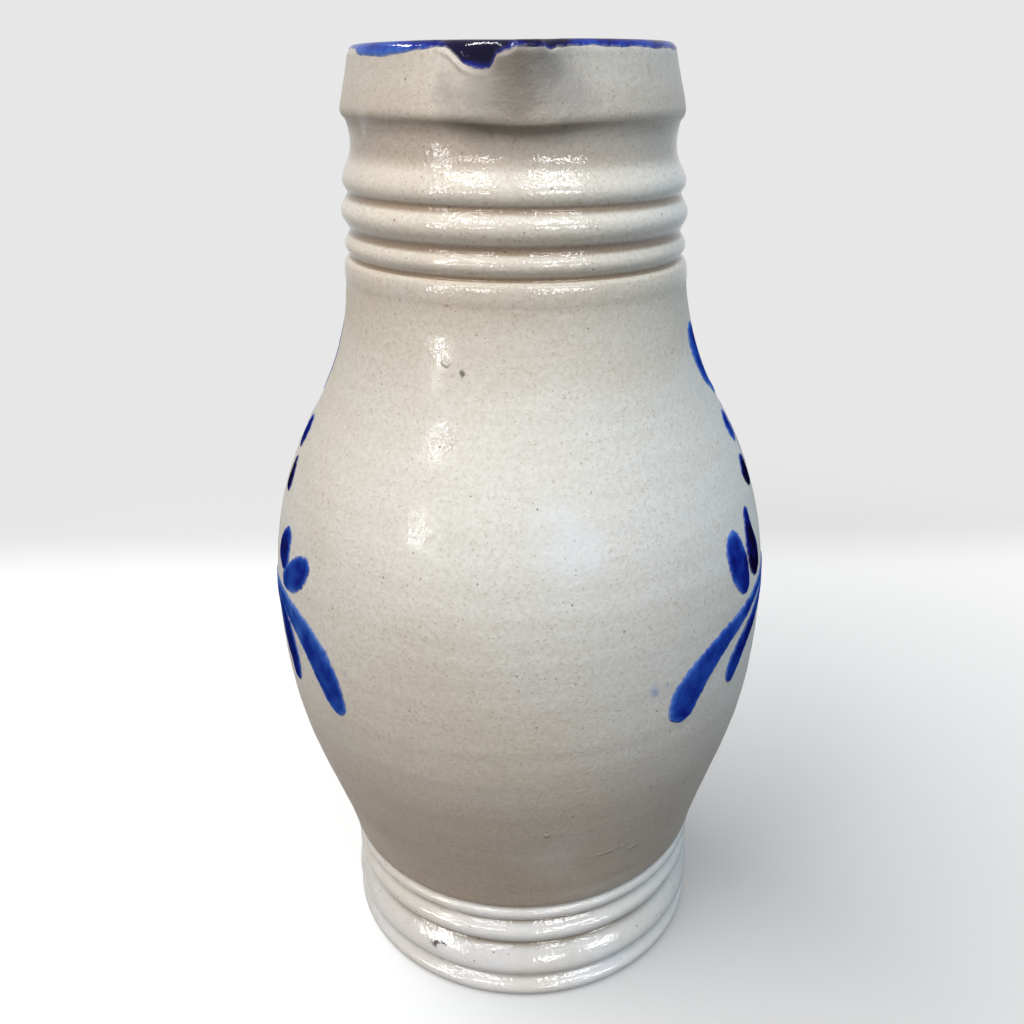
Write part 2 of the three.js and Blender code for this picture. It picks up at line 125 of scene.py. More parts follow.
# Pouring lip, with the lower borders of its notches as places and heights
LIP_REACH = 7.0
LIP_POWER = 1.5
LIP_BASE_REACH = 1.6
LIP_BASE_DROP = 1.5
LIP_BASE_RISE = 2.0
LIP_MIDDLE = 2.5
LIP_SPREAD = 12.0
LIP_SAG = 1.6
LIP_SAG_RISE = 2.0
LIP_SAG_SPREAD = 17.0
LIP_LEAN = 0.9
LIP_LEAN_POWER = 4
PAST_RIM = 1.1
LEFT_NOTCH = [(-27, 279), (-23.8, 275.4), (-21.2, 274.9), (-19, 274.1), (-16.6, 272.5), (-14.7, 271.3),
              (-12.5, 270.6), (-10.5, 270.1), (-7.5, 269.9), (-6, 270.2), (-5.2, 271.1), (-4.7, 272.3),
              (-4.2, 273.2), (-2.5, 273.8), (-0.6, 274.2), (0.8, 275.2), (2.5, 279)]
RIGHT_NOTCH = [(6.2, 279), (7.8, 275.8), (9, 274.5), (10.4, 274.1), (11.8, 274.5), (13.2, 275.7), (15, 279)]
LEFT_NOTCH_DEPTH = 2.0
RIGHT_NOTCH_DEPTH = 1.3
NOTCH_LEDGE = 1.0
NOTCH_SOFTNESS = 0.25
FAR_ABOVE = 400
FOLD_HEIGHT = 0.4
FOLD_WIDTH = 0.7
FOLD_MIDDLE = -17
FOLD_SPREAD = 5

# Throwing marks: depth, height for a radian of the wave, waves round the pot, start in radians
FINE_RING_DEPTH = 0.02
FINE_RING_RISE = 1.05
FINE_RING_WANDER = 0.8
THROWING_WAVES = [(0.03, 1.9, -1, 1.3), (0.05, 7.3, 2, 0), (0.14, 31, 2, 0), (0.08, -22, 3, 2)]
MARKS_INSET = 0.32
MARKS_INSET_TOP = 215.0
MARKS_INSET_FADE = 30.0
MARKS_FADE_HEIGHT = 10.0
MARKS_FADE_RADIUS = 30.0

# Handle
HANDLE_TOP = 250.7
HANDLE_FOOT = 162.2
HANDLE_REACH = 53.0
HANDLE_ARCH = 14.0
HANDLE_ELBOW_REACH = 50.0
HANDLE_ELBOW_HEIGHT = 47.0
HANDLE_SINK = 6.0
HANDLE_TRIM = 2.0
HANDLE_WIDTH = 29.4
HANDLE_FOOT_WIDTH = 24.4
HANDLE_THICKNESS = 9.3
HANDLE_FLARE = 4.6
FLARE_LENGTH = 15.0
FLARE_THICKENING = 0.75
HANDLE_SIDE_ROUNDNESS = 0.75
HANDLE_FACE_ROUNDNESS = 0.8
FINGER_GROOVE_DEPTH = 0.55
FINGER_GROOVE_TURNS = 3
FINGER_GROOVE_FADE = 14.0
HANDLE_WANDER = 0.25
HANDLE_WANDER_LENGTH = 9.0
HANDLE_RIPPLE = 0.12
HANDLE_RIPPLE_LENGTH = 3.1
HANDLE_RINGS = 130
HANDLE_SIDES = 72

# Sprays: each path's heights are shares of the shoulder or the lower wall; width, swell and tone follow
RIGHT_SPRAY = {
    "seed": 100,
    "stem": [(88, 0.082), (89, 0.327), (88, 0.573)],
    "leaves": [
        ([(84, 0.612), (75, 0.7), (72.9, 0.835)], 9.5, 0.76, 0.1),
        ([(79.5, 0.485), (78.2, 0.52), (76.3, 0.57)], 8.5, 0.6, 0.3),
        ([(75.5, 0.452), (75, 0.408), (73.5, 0.366)], 10, 0.55, 0.8),
        ([(64.5, 0.347), (64.2, 0.245), (67.9, 0.136)], 10, 0.68, 0.7),
        ([(53.6, 0.322), (55.2, 0.237), (59.6, 0.121)], 10.5, 0.55, 0.3),
        ([(82, 0.116), (63.4, 0.077), (47.5, 0.026), (38, -0.07), (34.6, -0.185)], 11.5, 0.8, 0.15),
        ([(79, 0.077), (66.7, 0.02), (55.4, -0.07), (52.1, -0.154)], 8.5, 0.7, 0.3),
    ],
}
LEFT_SPRAY = {
    "seed": 200,
    "stem": [(-91, 0.082), (-92, 0.327), (-91, 0.573)],
    "leaves": [
        ([(-90, 0.612), (-89, 0.7), (-88.8, 0.838)], 4.6, 0.68, 0.4),
        ([(-80, 0.572), (-79.2, 0.53), (-79.4, 0.478)], 7.5, 0.5, 0.5),
        ([(-76.5, 0.464), (-74.9, 0.416), (-74.9, 0.366)], 7, 0.65, 0.8),
        ([(-63.4, 0.302), (-66.2, 0.235), (-68.4, 0.175)], 10.5, 0.62, 0.5),
        ([(-66.5, 0.138), (-59.3, 0.182), (-51.6, 0.258)], 8.8, 0.58, 0.25),
        ([(-82, 0.084), (-63.3, 0.077), (-49, 0.003), (-41.2, -0.182)], 11.5, 0.74, 0.05),
        ([(-78, 0.077), (-68.5, 0.044), (-62, -0.058), (-60.3, -0.183)], 10.5, 0.65, 0.3),
    ],
}
BACK_LEAF_SEED = 20
STEM_WIDTH = 2.2
STEM_SWELL = 0.5
STEM_TONE = 0.4
STROKE_ROUNDNESS = 0.55
STROKE_TAIL = 0.4
TAIL_START = 0.06
TAIL_END = 0.3
STROKE_MARGIN = 1.1
STROKE_EDGE = 0.7
STROKE_SLOPE = 1.8
LEAST_HALF_WIDTH = 0.02
TONE_CHANGE = 0.3
RAGGEDNESS = 0.10
LEFT_EDGE_WAVES = (0.9, 1.7, 2.9)
RIGHT_EDGE_WAVES = (0.8, 1.9, 2.7)

# Coats of slip, and the rim's coat: places with the height or the tone there, waves of its borders
SLIP_HEIGHT = 0.28
SLIP_SINK = 0.12
SLIP_DEPTH = 0.5
RIM_COAT_BORDER = [(-180, 273.0), (-120, 273.2), (-85, 275.1), (-66, 275.3), (-62, 274.3), (-58, 273.4),
                   (-47.5, 273.1), (-38, 273.5), (-34, 273.7), (-30, 274.3), (-24, 274.9), (-4, 275.0),
                   (2, 274.9), (8, 274.9), (16, 274.9), (40, 274.7), (70, 274.5), (110, 273.6), (180, 273.0)]
RIM_COAT_TONE = [(-180, 0.35), (-70, 0.25), (-50, 0.1), (-32, 0.3), (-24, 0.75), (-16, 1), (0, 0.75),
                 (12, 0.8), (25, 0.6), (60, 0.5), (180, 0.35)]
RIM_COAT_INSIDE = 271.6
OUTER_BORDER_WAVES = [(0.15, 3.1, 0), (0.07, 1.3, 1)]
INNER_BORDER_WAVES = [(0.5, 17, 0), (0.25, 5, 2)]
RIM_COAT_MARGIN = 1.2
RIM_COAT_EDGE = 0.3
RIM_COAT_SLOPE = 1.2
NOTCH_COAT_GAP = 0.15

# Panels that only the gloss shows: azimuth, elevation, size in metres, watts; they aim at heights in metres
WINDOW_DISTANCE = 1.0
WINDOW_AIM = 0.2
WINDOWS = [
    ("window_left", -22, 16, (0.38, 0.06), 2.6),
    ("window_right", 29, 17, (0.55, 0.07), 4.0),
    ("skylight_left", -33, 45, (0.50, 0.06), 3.0),
    ("skylight_right", 31, 44, (0.55, 0.07), 4.0),
    ("pane_upper", -50, 29, (0.14, 0.10), 1.4),
    ("pane_middle", -46, 17, (0.09, 0.09), 0.9),
    ("pane_lower", -49, 6, (0.11, 0.11), 1.5),
]
FOOT_WINDOW_AIM = 0.02
FOOT_WINDOWS = [
    ("foot_window_left", -50, 9, (0.50, 0.07), 3.4),
    ("foot_window_middle", 14, 9, (0.20, 0.06), 1.7),
    ("foot_window_right", 44, 9, (0.30, 0.06), 2.1),
]
RIM_WINDOW_AIM = 0.275
RIM_WINDOWS = [("rim_window", -108, 46, (0.45, 0.05), 6.5)]

# Lamps: azimuth, elevation, distance and size in metres, watts, colour
LAMP_AIM = 0.15
LAMPS = [
    ("overhead", -14, 53, 1.6, (1.1, 1.1), 24, (1.0, 0.985, 0.96)),
    ("right_fill", 72, 35, 1.5, (0.9, 0.9), 6.8, (0.22, 0.60, 1.0)),
    ("left_fill", -75, 35, 1.5, (0.9, 0.9), 2.9, (1.0, 0.93, 0.84)),
]
FLOOR_LAMP = ("floor_side", -91, 52, 1.2, (2.2, 0.9), 84)
WORLD_COLOUR = (0.98, 0.97, 0.96)
WORLD_STRENGTH = 0.34
BACKDROP_GREY = (0.80, 0.80, 0.80)

# Floor, in metres
FLOOR_HALF = 6.0
FLOOR_BACK = (0.225, 0.31)
GLOW_REACH = (0.16, 0.5)
GLOW_NEAR = 0.26
GLOW_GAIN = 0.74
FLOOR_WHITE = (1.0, 1.0, 1.0)
FLOOR_SHADE = (0.20, 0.20, 0.20)
FLOOR_BOUNCE = (0.025, 0.024, 0.022)

# Camera: focal length in pixels of a square frame
FOCAL_PIXELS = 1000
FRAME_PIXELS = 1024
SENSOR_WIDTH = 36
NEAREST_SEEN = 10
CAMERA_PLACE = (-0.25, -288.8, 268.7)
CAMERA_PITCH = 23.52
CAMERA_ROLL = -0.80
CAMERA_YAW = -0.31

# Colours of the glazes; the tones follow the height or the thickness of the slip, as shares. The glaze's
# darker tones low down, at the top of the shoulder and under the collar are partly its own colour and partly
# painted shade
GLAZE_AND_SHADE_TONES = [
    (0.0, (0.55, 0.50, 0.44)), (0.14, (0.47, 0.39, 0.315)), (0.28, (0.53, 0.465, 0.395)),
    (0.42, (0.68, 0.645, 0.59)), (0.58, (0.695, 0.675, 0.63)), (0.70, (0.68, 0.65, 0.59)),
    (0.79, (0.65, 0.58, 0.49)), (0.86, (0.78, 0.72, 0.63)), (0.905, (0.75, 0.685, 0.60)),
    (0.94, (0.56, 0.495, 0.42)), (1.0, (0.63, 0.59, 0.53)),
]
BLUSH = (0.60, 0.51, 0.40)
CLOUD = (0.66, 0.67, 0.66)
STREAK_TINT = (0.82, 0.79, 0.74)
MOTTLE_TINT = (0.80, 0.765, 0.72)
FRECKLE_TINT = (0.70, 0.60, 0.48)
# Browner glaze in the grooves, darkened further as painted shade
GROOVE_GLAZE_AND_SHADE = (0.40, 0.31, 0.235)
IRON = (0.14, 0.088, 0.05)
FOOT_WHITE = (0.70, 0.685, 0.68)
FOOT_BEIGE = (0.68, 0.64, 0.585)
FOOT_MOTTLE_TINT = (0.84, 0.81, 0.77)
# Beige glaze left in the foot's grooves, darkened further as painted shade
FOOT_GROOVE_GLAZE_AND_SHADE = (0.46, 0.39, 0.30)
CHIP = (0.05, 0.03, 0.035)
COBALT_TONES = [
    (0.0, (0.075, 0.180, 0.56)), (0.35, (0.022, 0.078, 0.42)), (0.7, (0.008, 0.018, 0.23)),
    (1.0, (0.006, 0.004, 0.028)),
]

# Gloss: roughness of the zones, and between which heights in metres one passes into the next
BELLY_ROUGHNESS = 0.56
NECK_ROUGHNESS = 0.11
COLLAR_DULLING = 0.28
SPOT_POLISH = 0.45
NECK_START = (0.214, 0.220)
COLLAR_START = (0.254, 0.261)
GLAZE_REFLECTION = 0.36
FOOT_REFLECTION = 0.4
RIM_REFLECTION = 0.12
BRUSHED_REFLECTION = 0.0
REFRACTION = 1.5

# Iron specks: how many in a metre, size and presence as shares of a cell, strength
SPECKS = [(210, 0.062, 0.30, 0.8), (430, 0.085, 0.35, 0.6)]

# Shiny spots on the shoulder: place, height, half size across and upwards
SHINY_SPOTS = [(-22.5, 204.5, 6, 9), (-20, 185.5, 6.5, 6), (-20.8, 165, 6.5, 8)]

# Stains and smudges in the glaze, with painted shade on the collar about the lip and a painted reflection on
# the belly: place, height, half size across and upwards, strength, colour
MARKS_AND_PAINTED_LIGHT = [
    (-15.4, 201.6, 0.9, 1.0, 0.85, (0.06, 0.045, 0.035)),
    # Painted shade under the lip
    (3.2, 266.5, 9, 13, 0.75, (0.25, 0.21, 0.185)),
    # Painted shade on the collar left of the lip
    (-9, 266, 12, 11, 0.8, (0.27, 0.24, 0.21)),
    # Painted shade on the collar right of the lip
    (14, 265, 10, 10, 0.55, (0.32, 0.29, 0.26)),
    (48, 269.7, 0.9, 3.0, 0.35, (0.34, 0.27, 0.22)),
    (16.8, 270.7, 0.7, 2.6, 0.45, (0.40, 0.34, 0.29)),
    (-54.4, 258.4, 4.5, 3.0, 0.5, (0.80, 0.78, 0.76)),
    # Painted reflection of a window, a pale bluish cloud on the belly
    (8.8, 161, 13, 12, 0.45, (0.72, 0.745, 0.77)),
    (27.8, 119.9, 1.9, 2.4, 0.55, (0.16, 0.25, 0.52)),
    (31.1, 120.3, 0.9, 1.0, 0.4, (0.16, 0.25, 0.52)),
    (-56.4, 118.7, 1.4, 1.6, 0.4, (0.20, 0.28, 0.50)),
    (-38.9, 121.9, 1.2, 1.4, 0.3, (0.20, 0.28, 0.50)),
]

# Small raised marks: place, height, half size across and upwards
NUBS = [(-20.5, 203.9, 1.1, 1.1), (5.6, 73.9, 1.0, 1.0), (22, 59.8, 2.8, 0.7), (30.9, 57.4, 2.2, 0.9),
        (43, 79, 0.8, 5.0)]

# Chip in the foot's glaze: place, height, half size across and upwards, radius; the second is left out of it
CHIP_WHOLE = (-28, 15.3, 3.0, 2.0, 58)
CHIP_SPARED = (-27.4, 14.3, 2.4, 1.4, 58)

# Fineness
SEGMENTS = 320
FRONT_CROWDING = 0.5
PROFILE_STEP = 0.1
CURVE_STEPS = 60
HANDLE_STEPS = 400
HIDDEN_SPACING = 5.0
CREASE_SPACING = 0.5
WALL_SPACING = 1.6
BORE_SPACING = 4.0
NECK_BORE_SPACING = 1.5
NECK_SPACING = 0.42
FOOT_SPACING = 0.4
FINE_ZONE = 6.0
GROOVE_REACH = 2.8
STROKE_SAMPLES = 200
STROKE_LEAST_ROWS = 26
STROKE_ROW_SPACING = 0.7
STROKE_COLUMNS = 21
RIM_SPAN = 250
RIM_COAT_COLUMNS = 34


def bezier(*corners, steps=CURVE_STEPS):
    """Points along a Bezier curve of any degree."""
    t = np.linspace(0, 1, steps)[:, None]
    degree = len(corners) - 1
    total = 0
    for i, corner in enumerate(corners):
        total = total + math.comb(degree, i) * (1 - t) ** (degree - i) * t ** i * np.array(corner, float)
    return total


def bead(start, end, bulge):
    """A rounded bead between two points of (radius, height)."""
    middle = ((start[0] + end[0]) / 2 + 2 * bulge, (start[1] + end[1]) / 2)
    return bezier(start, middle, end)


def ring(start, end, bulge):
    """A ring between two grooves with rounded bottoms."""
    t = np.linspace(0, 1, CURVE_STEPS)
    swell = bulge * np.sin(math.pi * t) ** RING_ROUNDNESS
    return np.stack([start[0] + (end[0] - start[0]) * t + swell, start[1] + (end[1] - start[1]) * t], 1)


def distances(points):
    """How far each point of a path lies from its start."""
    return np.concatenate([[0], np.cumsum(np.linalg.norm(np.diff(points, axis=0), axis=1))])


def sampled(places, along, points):
    """A path's points, or what belongs to them, at places along it."""
    return np.stack([np.interp(places, along, column) for column in points.T], -1)


def even(points):
    """Points spaced evenly along a path."""
    points = np.vstack([np.atleast_2d(p) for p in points])
    along = distances(points)
    return sampled(np.arange(0, along[-1], PROFILE_STEP), along, points)


def softened(points, radius):
    """Gaussian rounding of an evenly spaced path; its two ends keep their place."""
    reach = int(4 * radius / PROFILE_STEP)
    kernel = np.exp(-0.5 * (np.arange(-reach, reach + 1) * PROFILE_STEP / radius) ** 2)
    kernel /= kernel.sum()
    before = 2 * points[0] - points[reach:0:-1]
    after = 2 * points[-1] - points[-2:-reach - 2:-1]
    columns = np.vstack([before, points, after]).T
    return np.stack([np.convolve(column, kernel, "valid") for column in columns], 1)


def directions(points):
    """Unit steps along a path of evenly spaced points."""
    slope = np.gradient(points, axis=0)
    return slope / np.maximum(np.hypot(slope[:, 0], slope[:, 1]), 1e-9)[:, None]


def bell(offset, spread):
    """One at no offset, falling away smoothly."""
    return np.exp(-(offset / spread) ** 2)


def softplus(x, width):
    """Zero below zero and x above, with a rounded corner."""
    return np.logaddexp(0, x / width) * width


def wall_points(inset):
    """The belly from the crease to the neck, set in for the bore."""
    pull = LOWER_FULLNESS * LOWER_WALL_HEIGHT
    low = LOWER_WALL_RADIUS - inset
    wide = BELLY_RADIUS - inset
    high = NECK_RADIUS - inset
    lower = bezier((low, WALL_START), (low + LOWER_WALL_LEAN * pull, WALL_START + pull),
                   (wide, WIDEST_LEVEL - pull), (wide, WIDEST_LEVEL))
    upper = bezier((wide, WIDEST_LEVEL), (wide, WIDEST_LEVEL + SHOULDER_FULLNESS * SHOULDER_HEIGHT),
                   (high, SHOULDER_TOP - SHOULDER_SWEEP * SHOULDER_HEIGHT), (high, SHOULDER_TOP))
    return np.vstack([lower, upper[1:]])


def neck_points():
    """Two rings, a bulge and a hollow, from the tooled line on the shoulder to the collar."""
    lower_ring = ring((GROOVE_RADIUS, SHOULDER_TOP + TOOLED_LINE_WIDTH), (GROOVE_RADIUS, RING_LEVEL),
                      LOWER_RING_BULGE)
    upper_ring = ring((GROOVE_RADIUS, RING_LEVEL), (GROOVE_RADIUS, BULGE_LEVEL), UPPER_RING_BULGE)
    height = HOLLOW_LEVEL - BULGE_LEVEL
    bulge = bezier((GROOVE_RADIUS, BULGE_LEVEL), (GROOVE_RADIUS + BULGE_SWELL, BULGE_LEVEL + height / 3),
                   (HOLLOW_RADIUS, HOLLOW_LEVEL - height / 2), (HOLLOW_RADIUS, HOLLOW_LEVEL))
    hollow = bezier((HOLLOW_RADIUS, HOLLOW_LEVEL), (HOLLOW_RADIUS, (HOLLOW_LEVEL + NECK_TOP) / 2),
                    (COLLAR_NECK_RADIUS, NECK_TOP))
    return np.vstack([lower_ring, upper_ring[1:], bulge[1:], hollow[1:]])


def rim_points():
    """The collar's outer face and the crown, ending on the inner face."""
    edge = bezier((COLLAR_NECK_RADIUS, NECK_TOP), (COLLAR_RADIUS, NECK_TOP + COLLAR_EDGE_LIFT),
                  (COLLAR_RADIUS, NECK_TOP + COLLAR_EDGE_HEIGHT))
    turned = np.linspace(0, math.pi, CURVE_STEPS)
    middle = RIM_RADIUS - RIM_WALL_THICKNESS / 2
    crown = np.stack([middle + RIM_WALL_THICKNESS / 2 * np.cos(turned),
                      POT_HEIGHT - RIM_CROWN_HEIGHT + RIM_CROWN_HEIGHT * np.sin(turned)], 1)
    return np.vstack([edge, crown])


def body_profile():
    """The body's closed section: seat, outer wall, rim, bore and floor."""
    bore = wall_points(WALL_THICKNESS)[::-1]
    inner_foot = bore[-1][0]
    floor_corner = bezier((inner_foot, FLOOR_THICKNESS + FLOOR_CORNER_RADIUS), (inner_foot, FLOOR_THICKNESS),
                          (inner_foot - FLOOR_CORNER_RADIUS, FLOOR_THICKNESS))
    wall = wall_points(0)
    wall[:, 0] += SHOULDER_BEAD * bell(wall[:, 1] - SHOULDER_BEAD_LEVEL, SHOULDER_BEAD_SPREAD)
    path = even([
        (0, SEAT_LEVEL), (SEAT_RADIUS, SEAT_LEVEL), (SEAT_RADIUS, FOOT_TOP),
        (CREASE_RADIUS - CREASE_DEPTH, FOOT_TOP), wall, neck_points(), rim_points(),
        (NECK_BORE, NECK_TOP), (NECK_BORE, RING_LEVEL), bore, floor_corner, (0, FLOOR_THICKNESS),
    ])
    return softened(path, BODY_SOFTNESS)


def foot_profile():
    """The foot's closed section: a cup round the body's seat, with its mouldings outside."""
    cove_height = COVE_LEVEL - MOULDING_HEIGHT
    edge = (UNDERSIDE_RADIUS, UNDERSIDE_EDGE)
    path = even([
        (0, 0), (UNDERSIDE_RADIUS - UNDERSIDE_CHAMFER, 0), edge,
        bead(edge, (WAIST_RADIUS, MOULDING_HEIGHT), MOULDING_BULGE),
        bezier((WAIST_RADIUS, MOULDING_HEIGHT),
               (WAIST_RADIUS + COVE_LOWER_PULL * COVE_FLARE, MOULDING_HEIGHT + cove_height / 6),
               (WAIST_RADIUS + COVE_UPPER_PULL * COVE_FLARE, MOULDING_HEIGHT + cove_height / 2),
               (WAIST_RADIUS, COVE_LEVEL)),
        bead((WAIST_RADIUS, COVE_LEVEL), (WAIST_RADIUS, BEAD_LEVEL), LOWER_BEAD_BULGE),
        bead((WAIST_RADIUS, BEAD_LEVEL), (CREASE_RADIUS, FOOT_TOP - SEAT_GAP), UPPER_BEAD_BULGE),
        (SEAT_RADIUS + SEAT_GAP, FOOT_TOP - SEAT_GAP), (SEAT_RADIUS + SEAT_GAP, SEAT_LEVEL - SEAT_GAP),
        (0, SEAT_LEVEL - SEAT_GAP),
    ])
    return np.maximum(softened(path, FOOT_SOFTNESS), [-np.inf, 0])


BODY_PROFILE = body_profile()
FOOT_PROFILE = foot_profile()
OUTER_START = int(np.argmax((BODY_PROFILE[:, 0] > CREASE_RADIUS - 2) & (BODY_PROFILE[:, 1] > FOOT_TOP)))
CROWN = int(np.argmax(BODY_PROFILE[:, 1]))
OUTER_WALL = BODY_PROFILE[OUTER_START:CROWN]


def wall_radius(z):
    """The outer wall's radius at a height, before the hand's unevenness."""
    return np.interp(z, OUTER_WALL[:, 1], OUTER_WALL[:, 0])


def throwing_marks(angle, z):
    """Shallow uneven rings and a slight out-of-round, which only go inwards on the belly."""
    marks = FINE_RING_DEPTH * np.sin(z / FINE_RING_RISE + FINE_RING_WANDER * np.sin(angle))
    for depth, rise, turns, start in THROWING_WAVES:
        marks = marks + depth * np.sin(z / rise + turns * angle + start)
    return marks - MARKS_INSET * np.clip((MARKS_INSET_TOP - z) / MARKS_INSET_FADE, 0, 1)


def notch_height(degrees, border):
    """A notch's lower border, far above the rim where there is no notch."""
    places, heights = np.array(border, float).T
    return np.interp(degrees, places, heights, left=FAR_ABOVE, right=FAR_ABOVE)


def recess(rise, depth):
    """How far the clay is pressed in at a height above a notch's border: a ledge, then a wall."""
    return depth * (1 - np.exp(-softplus(rise, NOTCH_SOFTNESS) / NOTCH_LEDGE))


def collar_share(z):
    """Zero below the collar and one at the rim."""
    return np.clip((z - NECK_TOP) / (POT_HEIGHT - NECK_TOP), 0, PAST_RIM)


def lip_push(degrees, z):
    """How far the lip, its notches and the fold beside them lie outwards."""
    base = np.clip((z - NECK_TOP + LIP_BASE_DROP) / LIP_BASE_RISE, 0, 1)
    push = LIP_REACH * bell(degrees - LIP_MIDDLE, LIP_SPREAD) * collar_share(z) ** LIP_POWER
    push = push + LIP_BASE_REACH * base * bell(degrees - LIP_MIDDLE, LIP_SAG_SPREAD)
    above_left = z - notch_height(degrees, LEFT_NOTCH)
    above_right = z - notch_height(degrees, RIGHT_NOTCH)
    push = push - recess(above_left, LEFT_NOTCH_DEPTH) - recess(above_right, RIGHT_NOTCH_DEPTH)
    fold = bell(above_left + FOLD_WIDTH, FOLD_WIDTH) * bell(degrees - FOLD_MIDDLE, FOLD_SPREAD)
    return push + FOLD_HEIGHT * fold


def lip_drop(degrees, r, z):
    """How far the collar sags under the lip, and the lip's outer edge leans down."""
    level = collar_share(z)
    overhang = np.clip((r - COLLAR_NECK_RADIUS) / (COLLAR_RADIUS - COLLAR_NECK_RADIUS), 0, 1)
    on_collar = np.clip((z - NECK_TOP + LIP_SAG_RISE) / LIP_SAG_RISE, 0, 1)
    sag = LIP_SAG * overhang * on_collar * np.clip(1 - level, 0, 1)
    sag = sag * bell(degrees - LIP_MIDDLE, LIP_SAG_SPREAD)
    outward = np.clip((r - RIM_RADIUS + RIM_WALL_THICKNESS) / RIM_WALL_THICKNESS, 0, 1)
    return sag + LIP_LEAN * bell(degrees - LIP_MIDDLE, LIP_SPREAD) * level ** LIP_LEAN_POWER * outward


def shaped(angle, r, z):
    """Where a point of the body's section comes to lie at an angle in radians."""
    degrees = np.degrees(angle)
    swell = (SHOULDER_SWELL + SHOULDER_LEAN * np.sin(angle)) * bell(z - SWELL_LEVEL, SWELL_SPREAD)
    tilt = RIM_TILT * np.clip((z - SHOULDER_TOP + TILT_FADE) / TILT_FADE, 0, 1)
    tilt = tilt * (1 - RIM_LEVELLING * np.clip(collar_share(z), 0, 1))
    marks = throwing_marks(angle, z) * np.clip((z - FOOT_TOP) / MARKS_FADE_HEIGHT, 0, 1)
    marks = marks * np.clip(r / MARKS_FADE_RADIUS, 0, 1)
    return r + lip_push(degrees, z) + swell + marks, z - lip_drop(degrees, r, z) - tilt * np.sin(angle)


def foot_shape(angle, r, z):
    """The foot is turned truer than the wall, with a slight waver of its beads."""
    waver = FOOT_WAVER * np.sin(2 * angle + 0.7) + FOOT_RIPPLE * np.sin(3 * angle + z / FOOT_RIPPLE_RISE)
    share = np.clip(r / FOOT_WAVER_RADIUS, 0, 1) ** 4
    return r + (waver - FOOT_SHRINK) * share, z + 0 * angle


def ring_angles():
    """Angles in radians round the pot, crowded at the front."""
    t = np.linspace(-math.pi, math.pi, SEGMENTS, endpoint=False)
    return t - FRONT_CROWDING * np.sin(t)


def around(angle, r, z):
    """Points at angles in radians from the front."""
    return np.stack([r * np.sin(angle), -r * np.cos(angle), z + 0 * angle], -1)


def on_wall(angle, z, proud):
    """Points on the outer wall at angles in radians, standing proud of it."""
    r, height = shaped(angle, wall_radius(z), z)
    return around(angle, r + proud, height)


def picked(profile, spacing):
    """Indexes along a profile whose spacing follows spacing(radius, height)."""
    steps = np.array([PROFILE_STEP / spacing(r, z) for r, z in profile])
    count = np.floor(np.cumsum(steps))
    return np.concatenate([[0], np.flatnonzero(np.diff(count)) + 1, [len(profile) - 1]])


def hollowness(profile):
    """How deep each profile point lies in a groove."""
    filled = softened(profile, GROOVE_REACH) - profile
    slope = directions(profile)
    return filled[:, 0] * slope[:, 1] - filled[:, 1] * slope[:, 0]


def mesh_object(name, vertices, faces, attributes):
    """A smooth mesh object from points in mm, with float attributes for its points."""
    mesh = bpy.data.meshes.new(name)
    mesh.from_pydata((np.asarray(vertices) * MM).tolist(), [], faces)
    work = bmesh.new()
    work.from_mesh(mesh)
    bmesh.ops.recalc_face_normals(work, faces=work.faces)
    work.to_mesh(mesh)
    work.free()
    for label, values in attributes.items():
        layer = mesh.attributes.new(label, "FLOAT", "POINT")
        layer.data.foreach_set("value", np.asarray(values, np.float32))
    mesh.polygons.foreach_set("use_smooth", [True] * len(mesh.polygons))
    made = bpy.data.objects.new(name, mesh)
    bpy.context.collection.objects.link(made)
    return made


def tube_faces(rows, columns):
    """Faces of a tube whose two end points follow the points of its rows."""
    faces = []
    for row in range(rows - 1):
        for side in range(columns):
            here = row * columns + side
            there = row * columns + (side + 1) % columns
            faces.append((here, there, there + columns, here + columns))
    first = rows * columns
    last_row = (rows - 1) * columns
    for side in range(columns):
        following = (side + 1) % columns
        faces.append((first, following, side))
        faces.append((first + 1, last_row + side, last_row + following))
    return faces


def revolved(name, profile, spacing, warp):
    """A closed turned piece whose first and last profile points lie on the axis."""
    chosen = picked(profile, spacing)
    rows = profile[chosen]
    inner = rows[1:-1]
    angles = ring_angles()
    r, z = warp(angles[None, :], inner[:, 0][:, None], inner[:, 1][:, None])
    points = around(angles[None, :], r, z + 0 * r).reshape(-1, 3)
    vertices = np.vstack([points, [[0, 0, rows[0][1]]], [[0, 0, rows[-1][1]]]])
    hollow = np.concatenate([np.repeat(hollowness(profile)[chosen][1:-1], SEGMENTS), [0, 0]])
    return mesh_object(name, vertices, tube_faces(len(inner), SEGMENTS), {"hollow": hollow})


def grid_solid(name, top, bottom, attributes, wrap=False):
    """A closed thin solid between two grids of points; with wrap its last row joins its first."""
    rows, columns, _ = top.shape
    vertices = np.vstack([top.reshape(-1, 3), bottom.reshape(-1, 3)])
    under = rows * columns
    faces = []
    last = rows if wrap else rows - 1
    for row in range(last):
        for column in range(columns - 1):
            a = row * columns + column
            b = ((row + 1) % rows) * columns + column
            faces.append((a, b, b + 1, a + 1))
            faces.append((under + a, under + a + 1, under + b + 1, under + b))
        for edge in (0, columns - 1):
            a = row * columns + edge
            b = ((row + 1) % rows) * columns + edge
            faces.append((a, b, under + b, under + a))
    if not wrap:
        for row in (0, rows - 1):
            for column in range(columns - 1):
                a = row * columns + column
                faces.append((a, a + 1, under + a + 1, under + a))
    doubled = {label: np.concatenate([v.ravel(), v.ravel()]) for label, v in attributes.items()}
    return mesh_object(name, vertices, faces, doubled)


